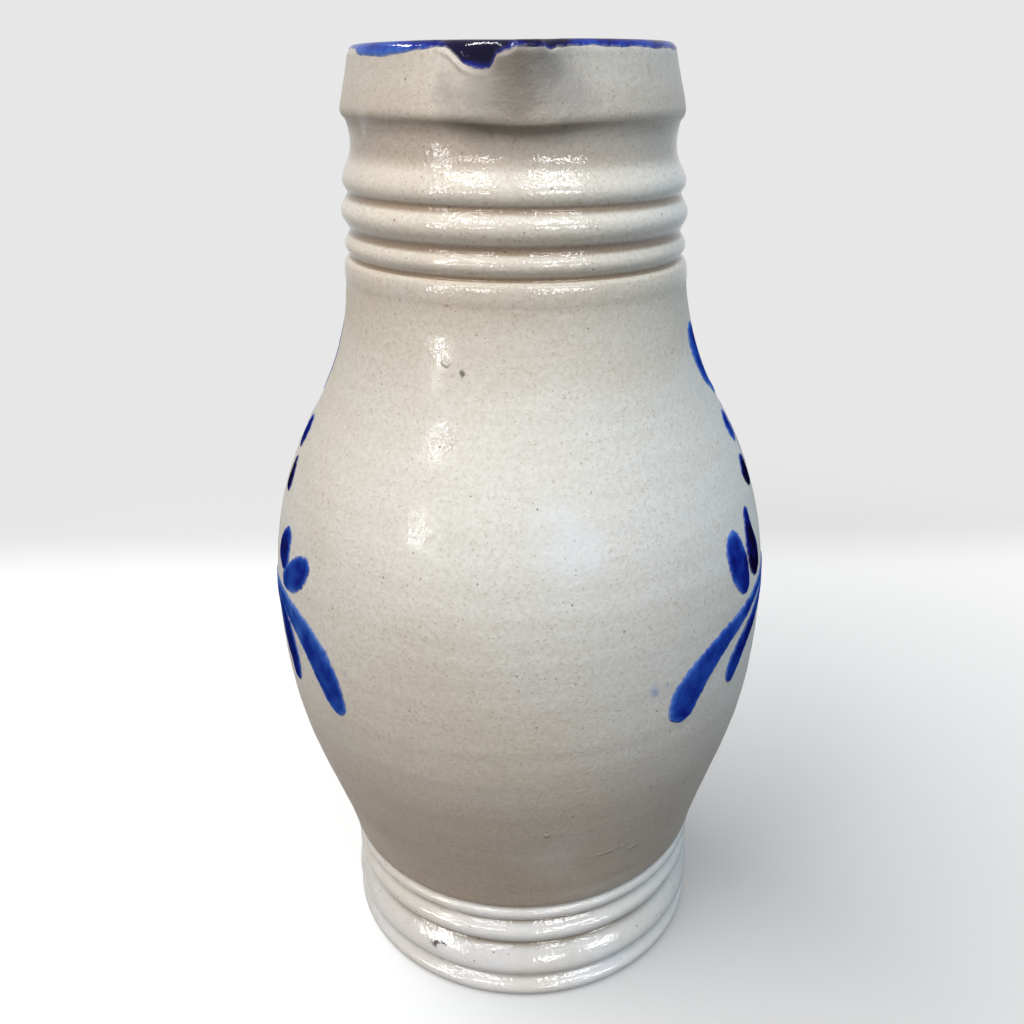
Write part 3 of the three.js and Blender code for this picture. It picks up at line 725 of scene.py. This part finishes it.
def body_spacing(r, z):
    """Finest on the neck and the rim, coarse where nothing is seen."""
    if z < FOOT_TOP - 1:
        return HIDDEN_SPACING
    if z < FOOT_TOP + FINE_ZONE:
        return CREASE_SPACING
    if z < SHOULDER_TOP - FINE_ZONE:
        return WALL_SPACING if r > wall_radius(z) - 2 else BORE_SPACING
    return NECK_BORE_SPACING if r < NECK_BORE + 0.6 else NECK_SPACING


def foot_spacing(r, z):
    """Fine outside, coarse under the pot and in the seat."""
    return HIDDEN_SPACING if r < SEAT_RADIUS + 3 else FOOT_SPACING


def make_body():
    """The thrown body, from its seat in the foot to the rim."""
    piece = revolved("vessel", BODY_PROFILE, body_spacing, shaped)
    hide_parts("belly", "neck", "rim_collar")
    return piece


def make_foot():
    piece = revolved("turned_foot", FOOT_PROFILE, foot_spacing, foot_shape)
    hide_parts("foot")
    return piece


def handle_line():
    """The strap's middle line: places along it, its length, points (outward, height) and directions."""
    start = HOLLOW_RADIUS - HANDLE_SINK
    end = float(wall_radius(HANDLE_FOOT)) - HANDLE_SINK
    curve = bezier((start, HANDLE_TOP), (start + HANDLE_REACH, HANDLE_TOP + HANDLE_ARCH),
                   (end + HANDLE_ELBOW_REACH, HANDLE_FOOT + HANDLE_ELBOW_HEIGHT), (end, HANDLE_FOOT),
                   steps=HANDLE_STEPS)
    lengths = distances(curve)
    place = np.linspace(HANDLE_TRIM, lengths[-1] - HANDLE_TRIM, HANDLE_RINGS)
    points = sampled(place, lengths, curve)
    return place, lengths[-1], points, directions(points)


def make_handle():
    """A pulled strap with finger grooves, worked out into the wall at both ends."""
    place, total, points, slope = handle_line()
    turned = np.linspace(0, 2 * math.pi, HANDLE_SIDES, endpoint=False)
    flat = np.sign(np.sin(turned)) * np.abs(np.sin(turned)) ** HANDLE_SIDE_ROUNDNESS
    thick = np.sign(np.cos(turned)) * np.abs(np.cos(turned)) ** HANDLE_FACE_ROUNDNESS
    from_end = np.minimum(place - HANDLE_SINK, total - HANDLE_SINK - place)
    flare = HANDLE_FLARE * np.clip(1 - from_end / FLARE_LENGTH, 0, 1.1) ** 2
    half_width = np.interp(place / total, [0, 1], [HANDLE_WIDTH / 2, HANDLE_FOOT_WIDTH / 2]) + flare
    half_thick = HANDLE_THICKNESS / 2 + FLARE_THICKENING * flare
    outer_side = np.clip(np.cos(turned), 0, 1) ** 0.5
    groove = FINGER_GROOVE_DEPTH * outer_side * (1 - np.cos(FINGER_GROOVE_TURNS * math.pi * flat))
    groove_fade = np.clip(from_end / FINGER_GROOVE_FADE, 0, 1)
    lift = thick[None, :] * half_thick[:, None] - groove[None, :] * groove_fade[:, None]
    lift = lift + HANDLE_RIPPLE * np.sin(place / HANDLE_RIPPLE_LENGTH)[:, None] * thick[None, :]
    x = flat[None, :] * half_width[:, None]
    x = x + HANDLE_WANDER * np.sin(place / HANDLE_WANDER_LENGTH + 1)[:, None]
    y = points[:, :1] - slope[:, 1:] * lift
    z = points[:, 1:] + slope[:, :1] * lift
    grid = np.stack([x, y, z], -1)
    vertices = np.vstack([grid.reshape(-1, 3), grid[0].mean(0)[None], grid[-1].mean(0)[None]])
    hollow = np.concatenate([np.tile(groove / 2, HANDLE_RINGS), [0, 0]])
    piece = mesh_object("pulled_handle", vertices, tube_faces(HANDLE_RINGS, HANDLE_SIDES), {"hollow": hollow})
    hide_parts("strap_handle", "handle_upper_lute", "handle_lower_lute")
    return piece


def spline(points, t):
    """Catmull-Rom curve through points, at shares t of its length in spans."""
    points = np.array(points, float)
    last = len(points) - 1
    place = np.clip(t, 0, 1) * last
    span = np.minimum(place.astype(int), last - 1)
    w = (place - span)[:, None]
    p0 = points[np.maximum(span - 1, 0)]
    p1 = points[span]
    p2 = points[span + 1]
    p3 = points[np.minimum(span + 2, last)]
    m1 = (p2 - p0) / 2
    m2 = (p3 - p1) / 2
    return (2 * p1 - 2 * p2 + m1 + m2) * w ** 3 + (-3 * p1 + 3 * p2 - 2 * m1 - m2) * w ** 2 + m1 * w + p1


def share_height(share):
    """The height at a share of the shoulder, or of the lower wall where it is negative."""
    return WIDEST_LEVEL + share * np.where(share > 0, SHOULDER_HEIGHT, LOWER_WALL_HEIGHT)


def slip_height(depth, edge, slope):
    """How far slip stands proud of the glaze at a distance in from its edge."""
    rise = np.clip((depth + edge) / slope, 0, 1)
    return -SLIP_SINK + (SLIP_HEIGHT + SLIP_SINK) * rise * rise * (3 - 2 * rise)


def stroke_half(share, width, swell):
    """Half a stroke's width along it, fullest at its swell, with a tail where the brush lifts."""
    bulk = np.abs(np.sin(math.pi * share ** (math.log(0.5) / math.log(swell)))) ** STROKE_ROUNDNESS
    tail = STROKE_TAIL * np.clip(share / TAIL_START, 0, 1) * np.clip((1 - share) / TAIL_END, 0, 1)
    return np.maximum(width * np.hypot(bulk, tail) / 2, LEAST_HALF_WIDTH)


def ragged(place, half, waves, phases):
    """Half a stroke's width to one side, with a ragged edge."""
    wobble = sum(RAGGEDNESS * np.sin(place * wave + phase) for wave, phase in zip(waves, phases))
    return np.maximum(half + wobble * np.minimum(half, 1), LEAST_HALF_WIDTH)


def stroke_rows(place, centre, lengths):
    """The middle points of a stroke's rows, straight on beyond its ends, and the ways across them."""
    inside = np.clip(place, 0, lengths[-1])
    ahead = sampled(place, lengths, np.gradient(centre, lengths, axis=0))
    unit = ahead / np.linalg.norm(ahead, axis=1)[:, None]
    middle = sampled(inside, lengths, centre) + unit * (place - inside)[:, None]
    across = np.cross(middle * np.array([1, 1, 0]), ahead)
    return middle, across / np.linalg.norm(across, axis=1)[:, None]


def make_stroke(name, node, path, width, swell, tone, seed):
    """One touch of the brush: a thin coat on the belly that fades into the glaze at its edge."""
    along = np.linspace(0, 1, STROKE_SAMPLES)
    flat = spline(path, along)
    height = share_height(flat[:, 1])
    centre = around(np.radians(flat[:, 0]), wall_radius(height), height)
    lengths = distances(centre)
    total = lengths[-1]
    rows = max(STROKE_LEAST_ROWS, int(total / STROKE_ROW_SPACING))
    turned = (1 - np.cos(np.linspace(0, math.pi, rows))) / 2
    place = turned * (total + 2 * STROKE_MARGIN) - STROKE_MARGIN
    share = np.interp(np.clip(place, 0, total), lengths, along)
    half = stroke_half(share, width, swell)
    phases = np.random.default_rng(seed).uniform(0, 2 * math.pi, 6)
    left = ragged(place, half, LEFT_EDGE_WAVES, phases[:3])
    right = ragged(place, half, RIGHT_EDGE_WAVES, phases[3:])
    lateral = np.sin(np.linspace(-math.pi / 2, math.pi / 2, STROKE_COLUMNS))
    side_half = np.where(lateral[None, :] < 0, left[:, None], right[:, None])
    across = lateral[None, :] * (side_half + STROKE_MARGIN)
    beyond = np.maximum(np.maximum(-place, place - total), 0)[:, None]
    depth = np.where(beyond > 0, -np.hypot(beyond, across), side_half - np.abs(across))
    depth = np.minimum(depth, np.minimum(place, total - place)[:, None])
    middle, sideways = stroke_rows(place, centre, lengths)
    spread = middle[:, None, :] + sideways[:, None, :] * across[:, :, None]
    angle = np.arctan2(spread[:, :, 0], -spread[:, :, 1])
    top = on_wall(angle, spread[:, :, 2], slip_height(depth, STROKE_EDGE, STROKE_SLOPE))
    bottom = on_wall(angle, spread[:, :, 2], -SLIP_DEPTH)
    shade = tone + TONE_CHANGE * (share[:, None] - 0.5) + 0 * depth
    piece = grid_solid(name, top, bottom, {"depth": depth, "tone": shade})
    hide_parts(node)
    return piece


def make_spray(side, spray):
    """A stem with its leaves, and the same leaves mirrored beyond the stem."""
    stem = spray["stem"]
    seed = spray["seed"]
    made = [make_stroke(f"slip_{side}_stem", f"{side}_stem", stem, STEM_WIDTH, STEM_SWELL, STEM_TONE, seed)]
    mirror = 2 * stem[0][0]
    for number, (path, width, swell, tone) in enumerate(spray["leaves"], 1):
        mirrored = [(mirror - angle, height) for angle, height in path]
        front = f"{side}_front_leaf_{number}"
        back = f"{side}_back_leaf_{number}"
        back_seed = seed + BACK_LEAF_SEED + number
        made.append(make_stroke(f"slip_{front}", front, path, width, swell, tone, seed + number))
        made.append(make_stroke(f"slip_{back}", back, mirrored, width, swell, tone, back_seed))
    return made


def waved(degrees, waves):
    """A wavy line round the rim from waves of (height, degrees for a radian, start in radians)."""
    return sum(height * np.sin(degrees / length + start) for height, length, start in waves)


def make_rim_coat():
    """Cobalt slip over the rim's crown, running down into the notches beside the lip."""
    angles = ring_angles()
    degrees = np.degrees(angles)
    low = np.interp(degrees, *np.array(RIM_COAT_BORDER, float).T) + waved(degrees, OUTER_BORDER_WAVES)
    for border in (LEFT_NOTCH, RIGHT_NOTCH):
        low = np.minimum(low, notch_height(degrees, border) + NOTCH_COAT_GAP)
    inside = RIM_COAT_INSIDE + waved(degrees, INNER_BORDER_WAVES)
    rim = BODY_PROFILE[CROWN - RIM_SPAN:CROWN + RIM_SPAN]
    along = np.arange(len(rim)) * PROFILE_STEP
    outer = np.interp(low, rim[:RIM_SPAN + 1, 1], along[:RIM_SPAN + 1])
    inner = np.interp(-inside, -rim[RIM_SPAN:, 1], along[RIM_SPAN:])
    start = np.minimum(outer - RIM_COAT_MARGIN, along[RIM_SPAN] - 1)
    shares = np.linspace(0, 1, RIM_COAT_COLUMNS)
    place = start[:, None] + shares[None, :] * (inner + RIM_COAT_MARGIN - start)[:, None]
    depth = np.minimum(place - outer[:, None], inner[:, None] - place)
    points = sampled(place, along, rim)
    slope = sampled(place, along, directions(rim))
    r, z = shaped(angles[:, None] + 0 * place, points[..., 0], points[..., 1])

    def raised(proud):
        return around(angles[:, None], r + slope[..., 1] * proud, z - slope[..., 0] * proud)

    top = raised(slip_height(depth, RIM_COAT_EDGE, RIM_COAT_SLOPE))
    bottom = raised(-SLIP_DEPTH)
    tone = np.interp(degrees, *np.array(RIM_COAT_TONE, float).T)[:, None] + 0 * depth
    piece = grid_solid("rim_slip", top, bottom, {"depth": depth, "tone": tone}, wrap=True)
    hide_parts("rim_cobalt")
    return piece


class Shader:
    """A material's node tree with short ways to add nodes."""

    def __init__(self, name):
        self.material = bpy.data.materials.new(name)
        self.material.use_nodes = True
        self.tree = self.material.node_tree
        self.tree.nodes.clear()
        self.output = self.tree.nodes.new("ShaderNodeOutputMaterial")

    def put(self, socket, value):
        """Links or sets a socket."""
        if isinstance(value, bpy.types.NodeSocket):
            self.tree.links.new(value, socket)
        elif isinstance(value, tuple) and len(value) == 3 and len(socket.default_value) == 4:
            socket.default_value = (*value, 1)
        else:
            socket.default_value = value

    def node(self, kind, *inputs, **settings):
        """A node with its settings made and its first inputs linked or set."""
        made = self.tree.nodes.new(kind)
        for label, value in settings.items():
            setattr(made, label, value)
        for socket, value in zip(made.inputs, inputs):
            self.put(socket, value)
        return made

    def place(self):
        return self.node("ShaderNodeTexCoord").outputs["Object"]

    def stretched(self, scale):
        made = self.node("ShaderNodeMapping", self.place())
        self.put(made.inputs["Scale"], scale)
        return made.outputs[0]

    def along(self, axis):
        return self.node("ShaderNodeSeparateXYZ", self.place()).outputs[axis]

    def attribute(self, name):
        return self.node("ShaderNodeAttribute", attribute_name=name).outputs["Fac"]

    def noise(self, scale, detail=3.0, vector=None, distortion=0.0):
        made = self.node("ShaderNodeTexNoise", vector or self.place())
        made.inputs["Scale"].default_value = scale
        made.inputs["Detail"].default_value = detail
        made.inputs["Distortion"].default_value = distortion
        return made.outputs["Fac"]

    def uneven(self, scale, detail, low, high, vector=None):
        """Noise spread over a span of values."""
        return self.span(self.noise(scale, detail, vector), 0.3, 0.7, low, high)

    def cells(self, scale):
        made = self.node("ShaderNodeTexVoronoi", self.place())
        made.inputs["Scale"].default_value = scale
        return made

    def maths(self, operation, a, b, clamp=False):
        return self.node("ShaderNodeMath", a, b, operation=operation, use_clamp=clamp).outputs[0]

    def vector_maths(self, operation, *values):
        made = self.node("ShaderNodeVectorMath", *values, operation=operation)
        return made.outputs["Value" if operation == "LENGTH" else "Vector"]

    def span(self, value, low, high, to_low=0.0, to_high=1.0):
        """Maps a span of a value smoothly to another span, held at its ends."""
        spans = (value, low, high, to_low, to_high)
        return self.node("ShaderNodeMapRange", *spans, interpolation_type="SMOOTHSTEP").outputs[0]

    def mix(self, factor, a, b, blend="MIX"):
        made = self.node("ShaderNodeMix", factor, data_type="RGBA", blend_type=blend)
        self.put(made.inputs[6], a)
        self.put(made.inputs[7], b)
        return made.outputs[2]

    def tinted(self, factor, colour, tint):
        """A colour multiplied by a tint where the factor is one."""
        return self.mix(factor, colour, self.mix(1.0, colour, tint, "MULTIPLY"))

    def near(self, angle, height, across, upwards, radius=None):
        """A soft uneven mask about a point of the wall or at a radius, its half sizes in mm."""
        turned = np.array(math.radians(angle))
        if radius is None:
            centre = on_wall(turned, np.array(height), 0)
        else:
            centre = around(turned, radius, height)
        offset = self.vector_maths("SUBTRACT", self.place(), centre * MM)
        shares = self.vector_maths("DIVIDE", offset, np.array([across, across, upwards]) * MM)
        distance = self.vector_maths("LENGTH", shares)
        wobble = self.uneven(0.9 / (across * MM), 3, -0.3, 0.3)
        return self.span(self.maths("ADD", distance, wobble), 0.3, 1.1, 1, 0)

    def ramp(self, factor, stops):
        made = self.node("ShaderNodeValToRGB", factor)
        elements = made.color_ramp.elements
        while len(elements) < len(stops):
            elements.new(0.5)
        for element, (position, colour) in zip(elements, stops):
            element.position = position
            element.color = (*colour, 1)
        return made.outputs[0]

    def bump(self, height, strength, distance, normal=None):
        made = self.node("ShaderNodeBump")
        made.inputs["Strength"].default_value = strength
        made.inputs["Distance"].default_value = distance
        self.put(made.inputs["Height"], height)
        if normal is not None:
            self.put(made.inputs["Normal"], normal)
        return made.outputs[0]


def glaze_colour(s, marks_and_painted_light=()):
    """Grey-beige salt glaze: paler on the belly, browner low down, with blushes, clouds and iron specks; its
    darker tones by height and in the grooves are partly painted shade, and the body's list of marks holds
    painted shade and a painted reflection.
    """
    # Tones by height: the glaze's colour, darker low down, at the top of the shoulder and under the collar
    # partly as painted shade
    base = s.ramp(s.maths("DIVIDE", s.along("Z"), POT_HEIGHT * MM), GLAZE_AND_SHADE_TONES)
    base = s.mix(s.span(s.noise(17, 4, distortion=0.6), 0.50, 0.72, 0, 0.38), base, BLUSH)
    base = s.mix(s.span(s.noise(24, 3), 0.52, 0.75, 0, 0.35), base, CLOUD)
    streaks = s.uneven(1, 4, 0, 1, s.stretched((14, 14, 260)))
    base = s.tinted(s.maths("MULTIPLY", streaks, 0.22), base, STREAK_TINT)
    base = s.tinted(s.span(s.noise(800, 3), 0.35, 0.65, 0, 0.40), base, MOTTLE_TINT)
    base = s.tinted(s.span(s.noise(1300, 2), 0.58, 0.72, 0, 0.6), base, FRECKLE_TINT)
    # Grooves: browner glaze, and painted shade in them
    base = s.tinted(s.span(s.attribute("hollow"), 0.04, 0.6, 0, 0.9), base, GROOVE_GLAZE_AND_SHADE)
    for angle, height, across, upwards, strength, colour in marks_and_painted_light:
        base = s.mix(s.maths("MULTIPLY", s.near(angle, height, across, upwards), strength), base, colour)
    return specked(s, base)


def specked(s, base):
    """Iron specks of two sizes."""
    for scale, size, presence, strength in SPECKS:
        cells = s.cells(scale)
        near = s.span(cells.outputs["Distance"], size * 0.4, size * 1.6, 1, 0)
        channels = s.node("ShaderNodeSeparateColor", cells.outputs["Color"])
        chosen = s.span(channels.outputs[0], presence, presence + 0.25, 0, strength)
        base = s.mix(s.maths("MULTIPLY", near, chosen), base, IRON)
    return base


def glaze_surface(s, colour, roughness, peel, reflection, raised=()):
    """Gloss and orange peel shared by all the glazes."""
    surface = s.node("ShaderNodeBsdfPrincipled")
    s.put(surface.inputs["Base Color"], colour)
    s.put(surface.inputs["Roughness"], roughness)
    surface.inputs["Specular IOR Level"].default_value = reflection
    surface.inputs["IOR"].default_value = REFRACTION
    relief = s.bump(s.noise(1300, 1), 0.42 * peel, 0.0002)
    relief = s.bump(s.noise(420, 1), 0.22 * peel, 0.0005, relief)
    relief = s.bump(s.noise(1, 2, vector=s.stretched((9, 9, 300))), 0.12, 0.0005, relief)
    for nub in raised:
        relief = s.bump(s.near(*nub), 0.9, 0.0004, relief)
    s.put(surface.inputs["Normal"], relief)
    s.put(s.output.inputs["Surface"], surface.outputs[0])
    return s.material


def salt_glaze():
    """Glossy on the neck and in a few spots on the shoulder, duller on the belly and the collar."""
    s = Shader("salt_glaze_look")
    height = s.along("Z")
    rough = s.span(height, *NECK_START, BELLY_ROUGHNESS, NECK_ROUGHNESS)
    rough = s.maths("ADD", rough, s.span(height, *COLLAR_START, 0, COLLAR_DULLING))
    rough = s.maths("ADD", rough, s.uneven(90, 4, -0.03, 0.04))
    for spot in SHINY_SPOTS:
        rough = s.maths("SUBTRACT", rough, s.maths("MULTIPLY", s.near(*spot), SPOT_POLISH))
    return glaze_surface(s, glaze_colour(s, MARKS_AND_PAINTED_LIGHT), rough, 1.0, GLAZE_REFLECTION, NUBS)


def handle_glaze():
    """The same glaze, evenly glossy."""
    s = Shader("handle_glaze_look")
    return glaze_surface(s, glaze_colour(s), s.uneven(90, 4, 0.18, 0.28), 1.0, GLAZE_REFLECTION)


def foot_glaze():
    """Thicker, whiter and glossier glaze, with beige left in the grooves and painted shade darkening them,
    and one chip.
    """
    s = Shader("foot_glaze_look")
    base = s.mix(s.span(s.noise(30, 4), 0.35, 0.65), FOOT_WHITE, FOOT_BEIGE)
    base = s.tinted(s.span(s.noise(380, 4), 0.35, 0.65, 0, 0.25), base, FOOT_MOTTLE_TINT)
    # Grooves: beige glaze, and painted shade in them
    base = s.tinted(s.span(s.attribute("hollow"), 0.03, 0.9, 0, 0.95), base, FOOT_GROOVE_GLAZE_AND_SHADE)
    chip = s.maths("SUBTRACT", s.near(*CHIP_WHOLE), s.near(*CHIP_SPARED), clamp=True)
    rough = s.uneven(90, 4, 0.06, 0.13)
    return glaze_surface(s, s.mix(chip, specked(s, base), CHIP), rough, 0.8, FOOT_REFLECTION)


def cobalt_slip(name, reflection):
    """Blue where thin, navy and purple where it pools, fading into the glaze at its edge."""
    s = Shader(name)
    depth = s.maths("ADD", s.attribute("depth"), s.uneven(700, 3, -0.22, 0.22))
    pooled = s.maths("ADD", s.attribute("tone"), s.span(depth, 0.3, 2.4, 0, 0.35))
    dark = s.maths("ADD", pooled, s.uneven(120, 4, -0.22, 0.22), clamp=True)
    colour = s.mix(s.span(depth, -0.7, 0.75), glaze_colour(s), s.ramp(dark, COBALT_TONES))
    return glaze_surface(s, colour, s.uneven(90, 4, 0.08, 0.18), 0.6, reflection)


def background_rays(tree):
    """One for rays that come from the camera, a mirror image or a clear piece."""
    light = tree.nodes.new("ShaderNodeLightPath")
    total = light.outputs["Is Camera Ray"]
    for label in ("Is Glossy Ray", "Is Transmission Ray"):
        more = tree.nodes.new("ShaderNodeMath")
        more.operation = "ADD"
        more.use_clamp = True
        tree.links.new(total, more.inputs[0])
        tree.links.new(light.outputs[label], more.inputs[1])
        total = more.outputs[0]
    return total


def floor_look():
    """White in front and light grey behind, glowing away from the pitcher and keeping its shadow nearby."""
    s = Shader("floor_look")
    tint = s.mix(s.span(s.along("Y"), *FLOOR_BACK), FLOOR_WHITE, BACKDROP_GREY)
    far = s.span(s.vector_maths("LENGTH", s.place()), *GLOW_REACH)
    lit = s.mix(far, s.mix(1.0, tint, FLOOR_SHADE, "MULTIPLY"), (0, 0, 0))
    strength = s.maths("ADD", s.maths("MULTIPLY", far, GLOW_GAIN), GLOW_NEAR)
    shaded = s.node("ShaderNodeBsdfDiffuse", lit).outputs[0]
    glow = s.node("ShaderNodeEmission", tint, strength).outputs[0]
    seen = s.node("ShaderNodeAddShader", shaded, glow).outputs[0]
    bounce = s.node("ShaderNodeBsdfDiffuse", FLOOR_BOUNCE).outputs[0]
    chosen = s.node("ShaderNodeMixShader", background_rays(s.tree), bounce, seen)
    s.put(s.output.inputs["Surface"], chosen.outputs[0])
    return s.material


def make_stage():
    corners = [(-FLOOR_HALF, -FLOOR_HALF, 0), (FLOOR_HALF, -FLOOR_HALF, 0),
               (FLOOR_HALF, FLOOR_HALF, 0), (-FLOOR_HALF, FLOOR_HALF, 0)]
    mesh = bpy.data.meshes.new("floor")
    mesh.from_pydata(corners, [], [(0, 1, 2, 3)])
    mesh.materials.append(floor_look())
    floor = bpy.data.objects.new("floor", mesh)
    bpy.context.collection.objects.link(floor)
    return floor


def make_world():
    """Weak even light, seen as a light grey backdrop."""
    world = bpy.data.worlds.new("studio")
    bpy.context.scene.world = world
    world.use_nodes = True
    tree = world.node_tree
    tree.nodes.clear()
    output = tree.nodes.new("ShaderNodeOutputWorld")
    chosen = tree.nodes.new("ShaderNodeMixShader")
    tree.links.new(background_rays(tree), chosen.inputs[0])
    for place, (colour, strength) in enumerate([(WORLD_COLOUR, WORLD_STRENGTH), (BACKDROP_GREY, 1.0)], 1):
        light = tree.nodes.new("ShaderNodeBackground")
        light.inputs["Color"].default_value = (*colour, 1)
        light.inputs["Strength"].default_value = strength
        tree.links.new(light.outputs[0], chosen.inputs[place])
    tree.links.new(chosen.outputs[0], output.inputs["Surface"])


def add_light(name, azimuth, elevation, distance, size, power, colour=(1, 1, 1), aim=LAMP_AIM):
    """A panel that faces a point of the axis from an azimuth, positive to the right, and an elevation."""
    data = bpy.data.lights.new(name, "AREA")
    data.shape = "RECTANGLE"
    data.size, data.size_y = size
    data.energy = power
    data.color = colour
    lamp = bpy.data.objects.new(name, data)
    a = math.radians(azimuth)
    e = math.radians(elevation)
    back = np.array([math.sin(a) * math.cos(e), -math.cos(a) * math.cos(e), math.sin(e)])
    side = np.array([math.cos(a), math.sin(a), 0])
    upward = np.cross(back, side)
    lamp.location = np.array([0, 0, aim]) + back * distance
    lamp.rotation_euler = Matrix([(side[i], upward[i], back[i]) for i in range(3)]).to_euler()
    bpy.context.collection.objects.link(lamp)
    lamp.visible_camera = False
    return lamp


def only_on(lamp, target):
    """Lets a lamp light one object alone."""
    receivers = bpy.data.collections.new(f"{lamp.name}_receiver")
    receivers.objects.link(target)
    lamp.light_linking.receiver_collection = receivers


def add_windows(windows, aim, target=None):
    """Panels that only the gloss shows, on all the pieces or on one."""
    for name, azimuth, elevation, size, power in windows:
        lamp = add_light(name, azimuth, elevation, WINDOW_DISTANCE, size, power, aim=aim)
        lamp.visible_diffuse = False
        if target is not None:
            only_on(lamp, target)


def make_lights(floor, foot, rim):
    """Soft lamps without reflections, a lamp for the floor's shadow, and the windows."""
    for lamp in LAMPS:
        add_light(*lamp).visible_glossy = False
    only_on(add_light(*FLOOR_LAMP), floor)
    add_windows(WINDOWS, WINDOW_AIM)
    add_windows(FOOT_WINDOWS, FOOT_WINDOW_AIM, foot)
    add_windows(RIM_WINDOWS, RIM_WINDOW_AIM, rim)


def make_camera():
    """The photograph's view."""
    data = bpy.data.cameras.new("camera")
    data.lens = SENSOR_WIDTH * FOCAL_PIXELS / FRAME_PIXELS
    data.sensor_width = SENSOR_WIDTH
    data.clip_start = NEAREST_SEEN * MM
    camera = bpy.data.objects.new("camera", data)
    pitch, roll, yaw = (math.radians(v) for v in (CAMERA_PITCH, CAMERA_ROLL, CAMERA_YAW))
    right = np.array([1, 0, 0])
    ahead = np.array([0, math.cos(pitch), -math.sin(pitch)])
    up = np.array([0, math.sin(pitch), math.cos(pitch)])
    front = ahead * math.cos(yaw) + right * math.sin(yaw)
    side = right * math.cos(yaw) - ahead * math.sin(yaw)
    across = side * math.cos(roll) + up * math.sin(roll)
    upward = up * math.cos(roll) - side * math.sin(roll)
    rows = [(across[i], upward[i], -front[i], CAMERA_PLACE[i] * MM) for i in range(3)]
    camera.matrix_world = Matrix([*rows, (0, 0, 0, 1)])
    bpy.context.collection.objects.link(camera)
    bpy.context.scene.camera = camera


def dress(piece, material):
    piece.data.materials.append(material)
    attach(piece, "root")


dress(make_body(), salt_glaze())
dress(make_handle(), handle_glaze())
foot = make_foot()
dress(foot, foot_glaze())
rim_coat = make_rim_coat()
dress(rim_coat, cobalt_slip("rim_cobalt_look", RIM_REFLECTION))
cobalt = cobalt_slip("brushed_cobalt_look", BRUSHED_REFLECTION)
for slip in [*make_spray("right", RIGHT_SPRAY), *make_spray("left", LEFT_SPRAY)]:
    dress(slip, cobalt)

make_camera()
make_world()
make_lights(make_stage(), foot, rim_coat)
bpy.context.scene.view_settings.view_transform = "Standard"
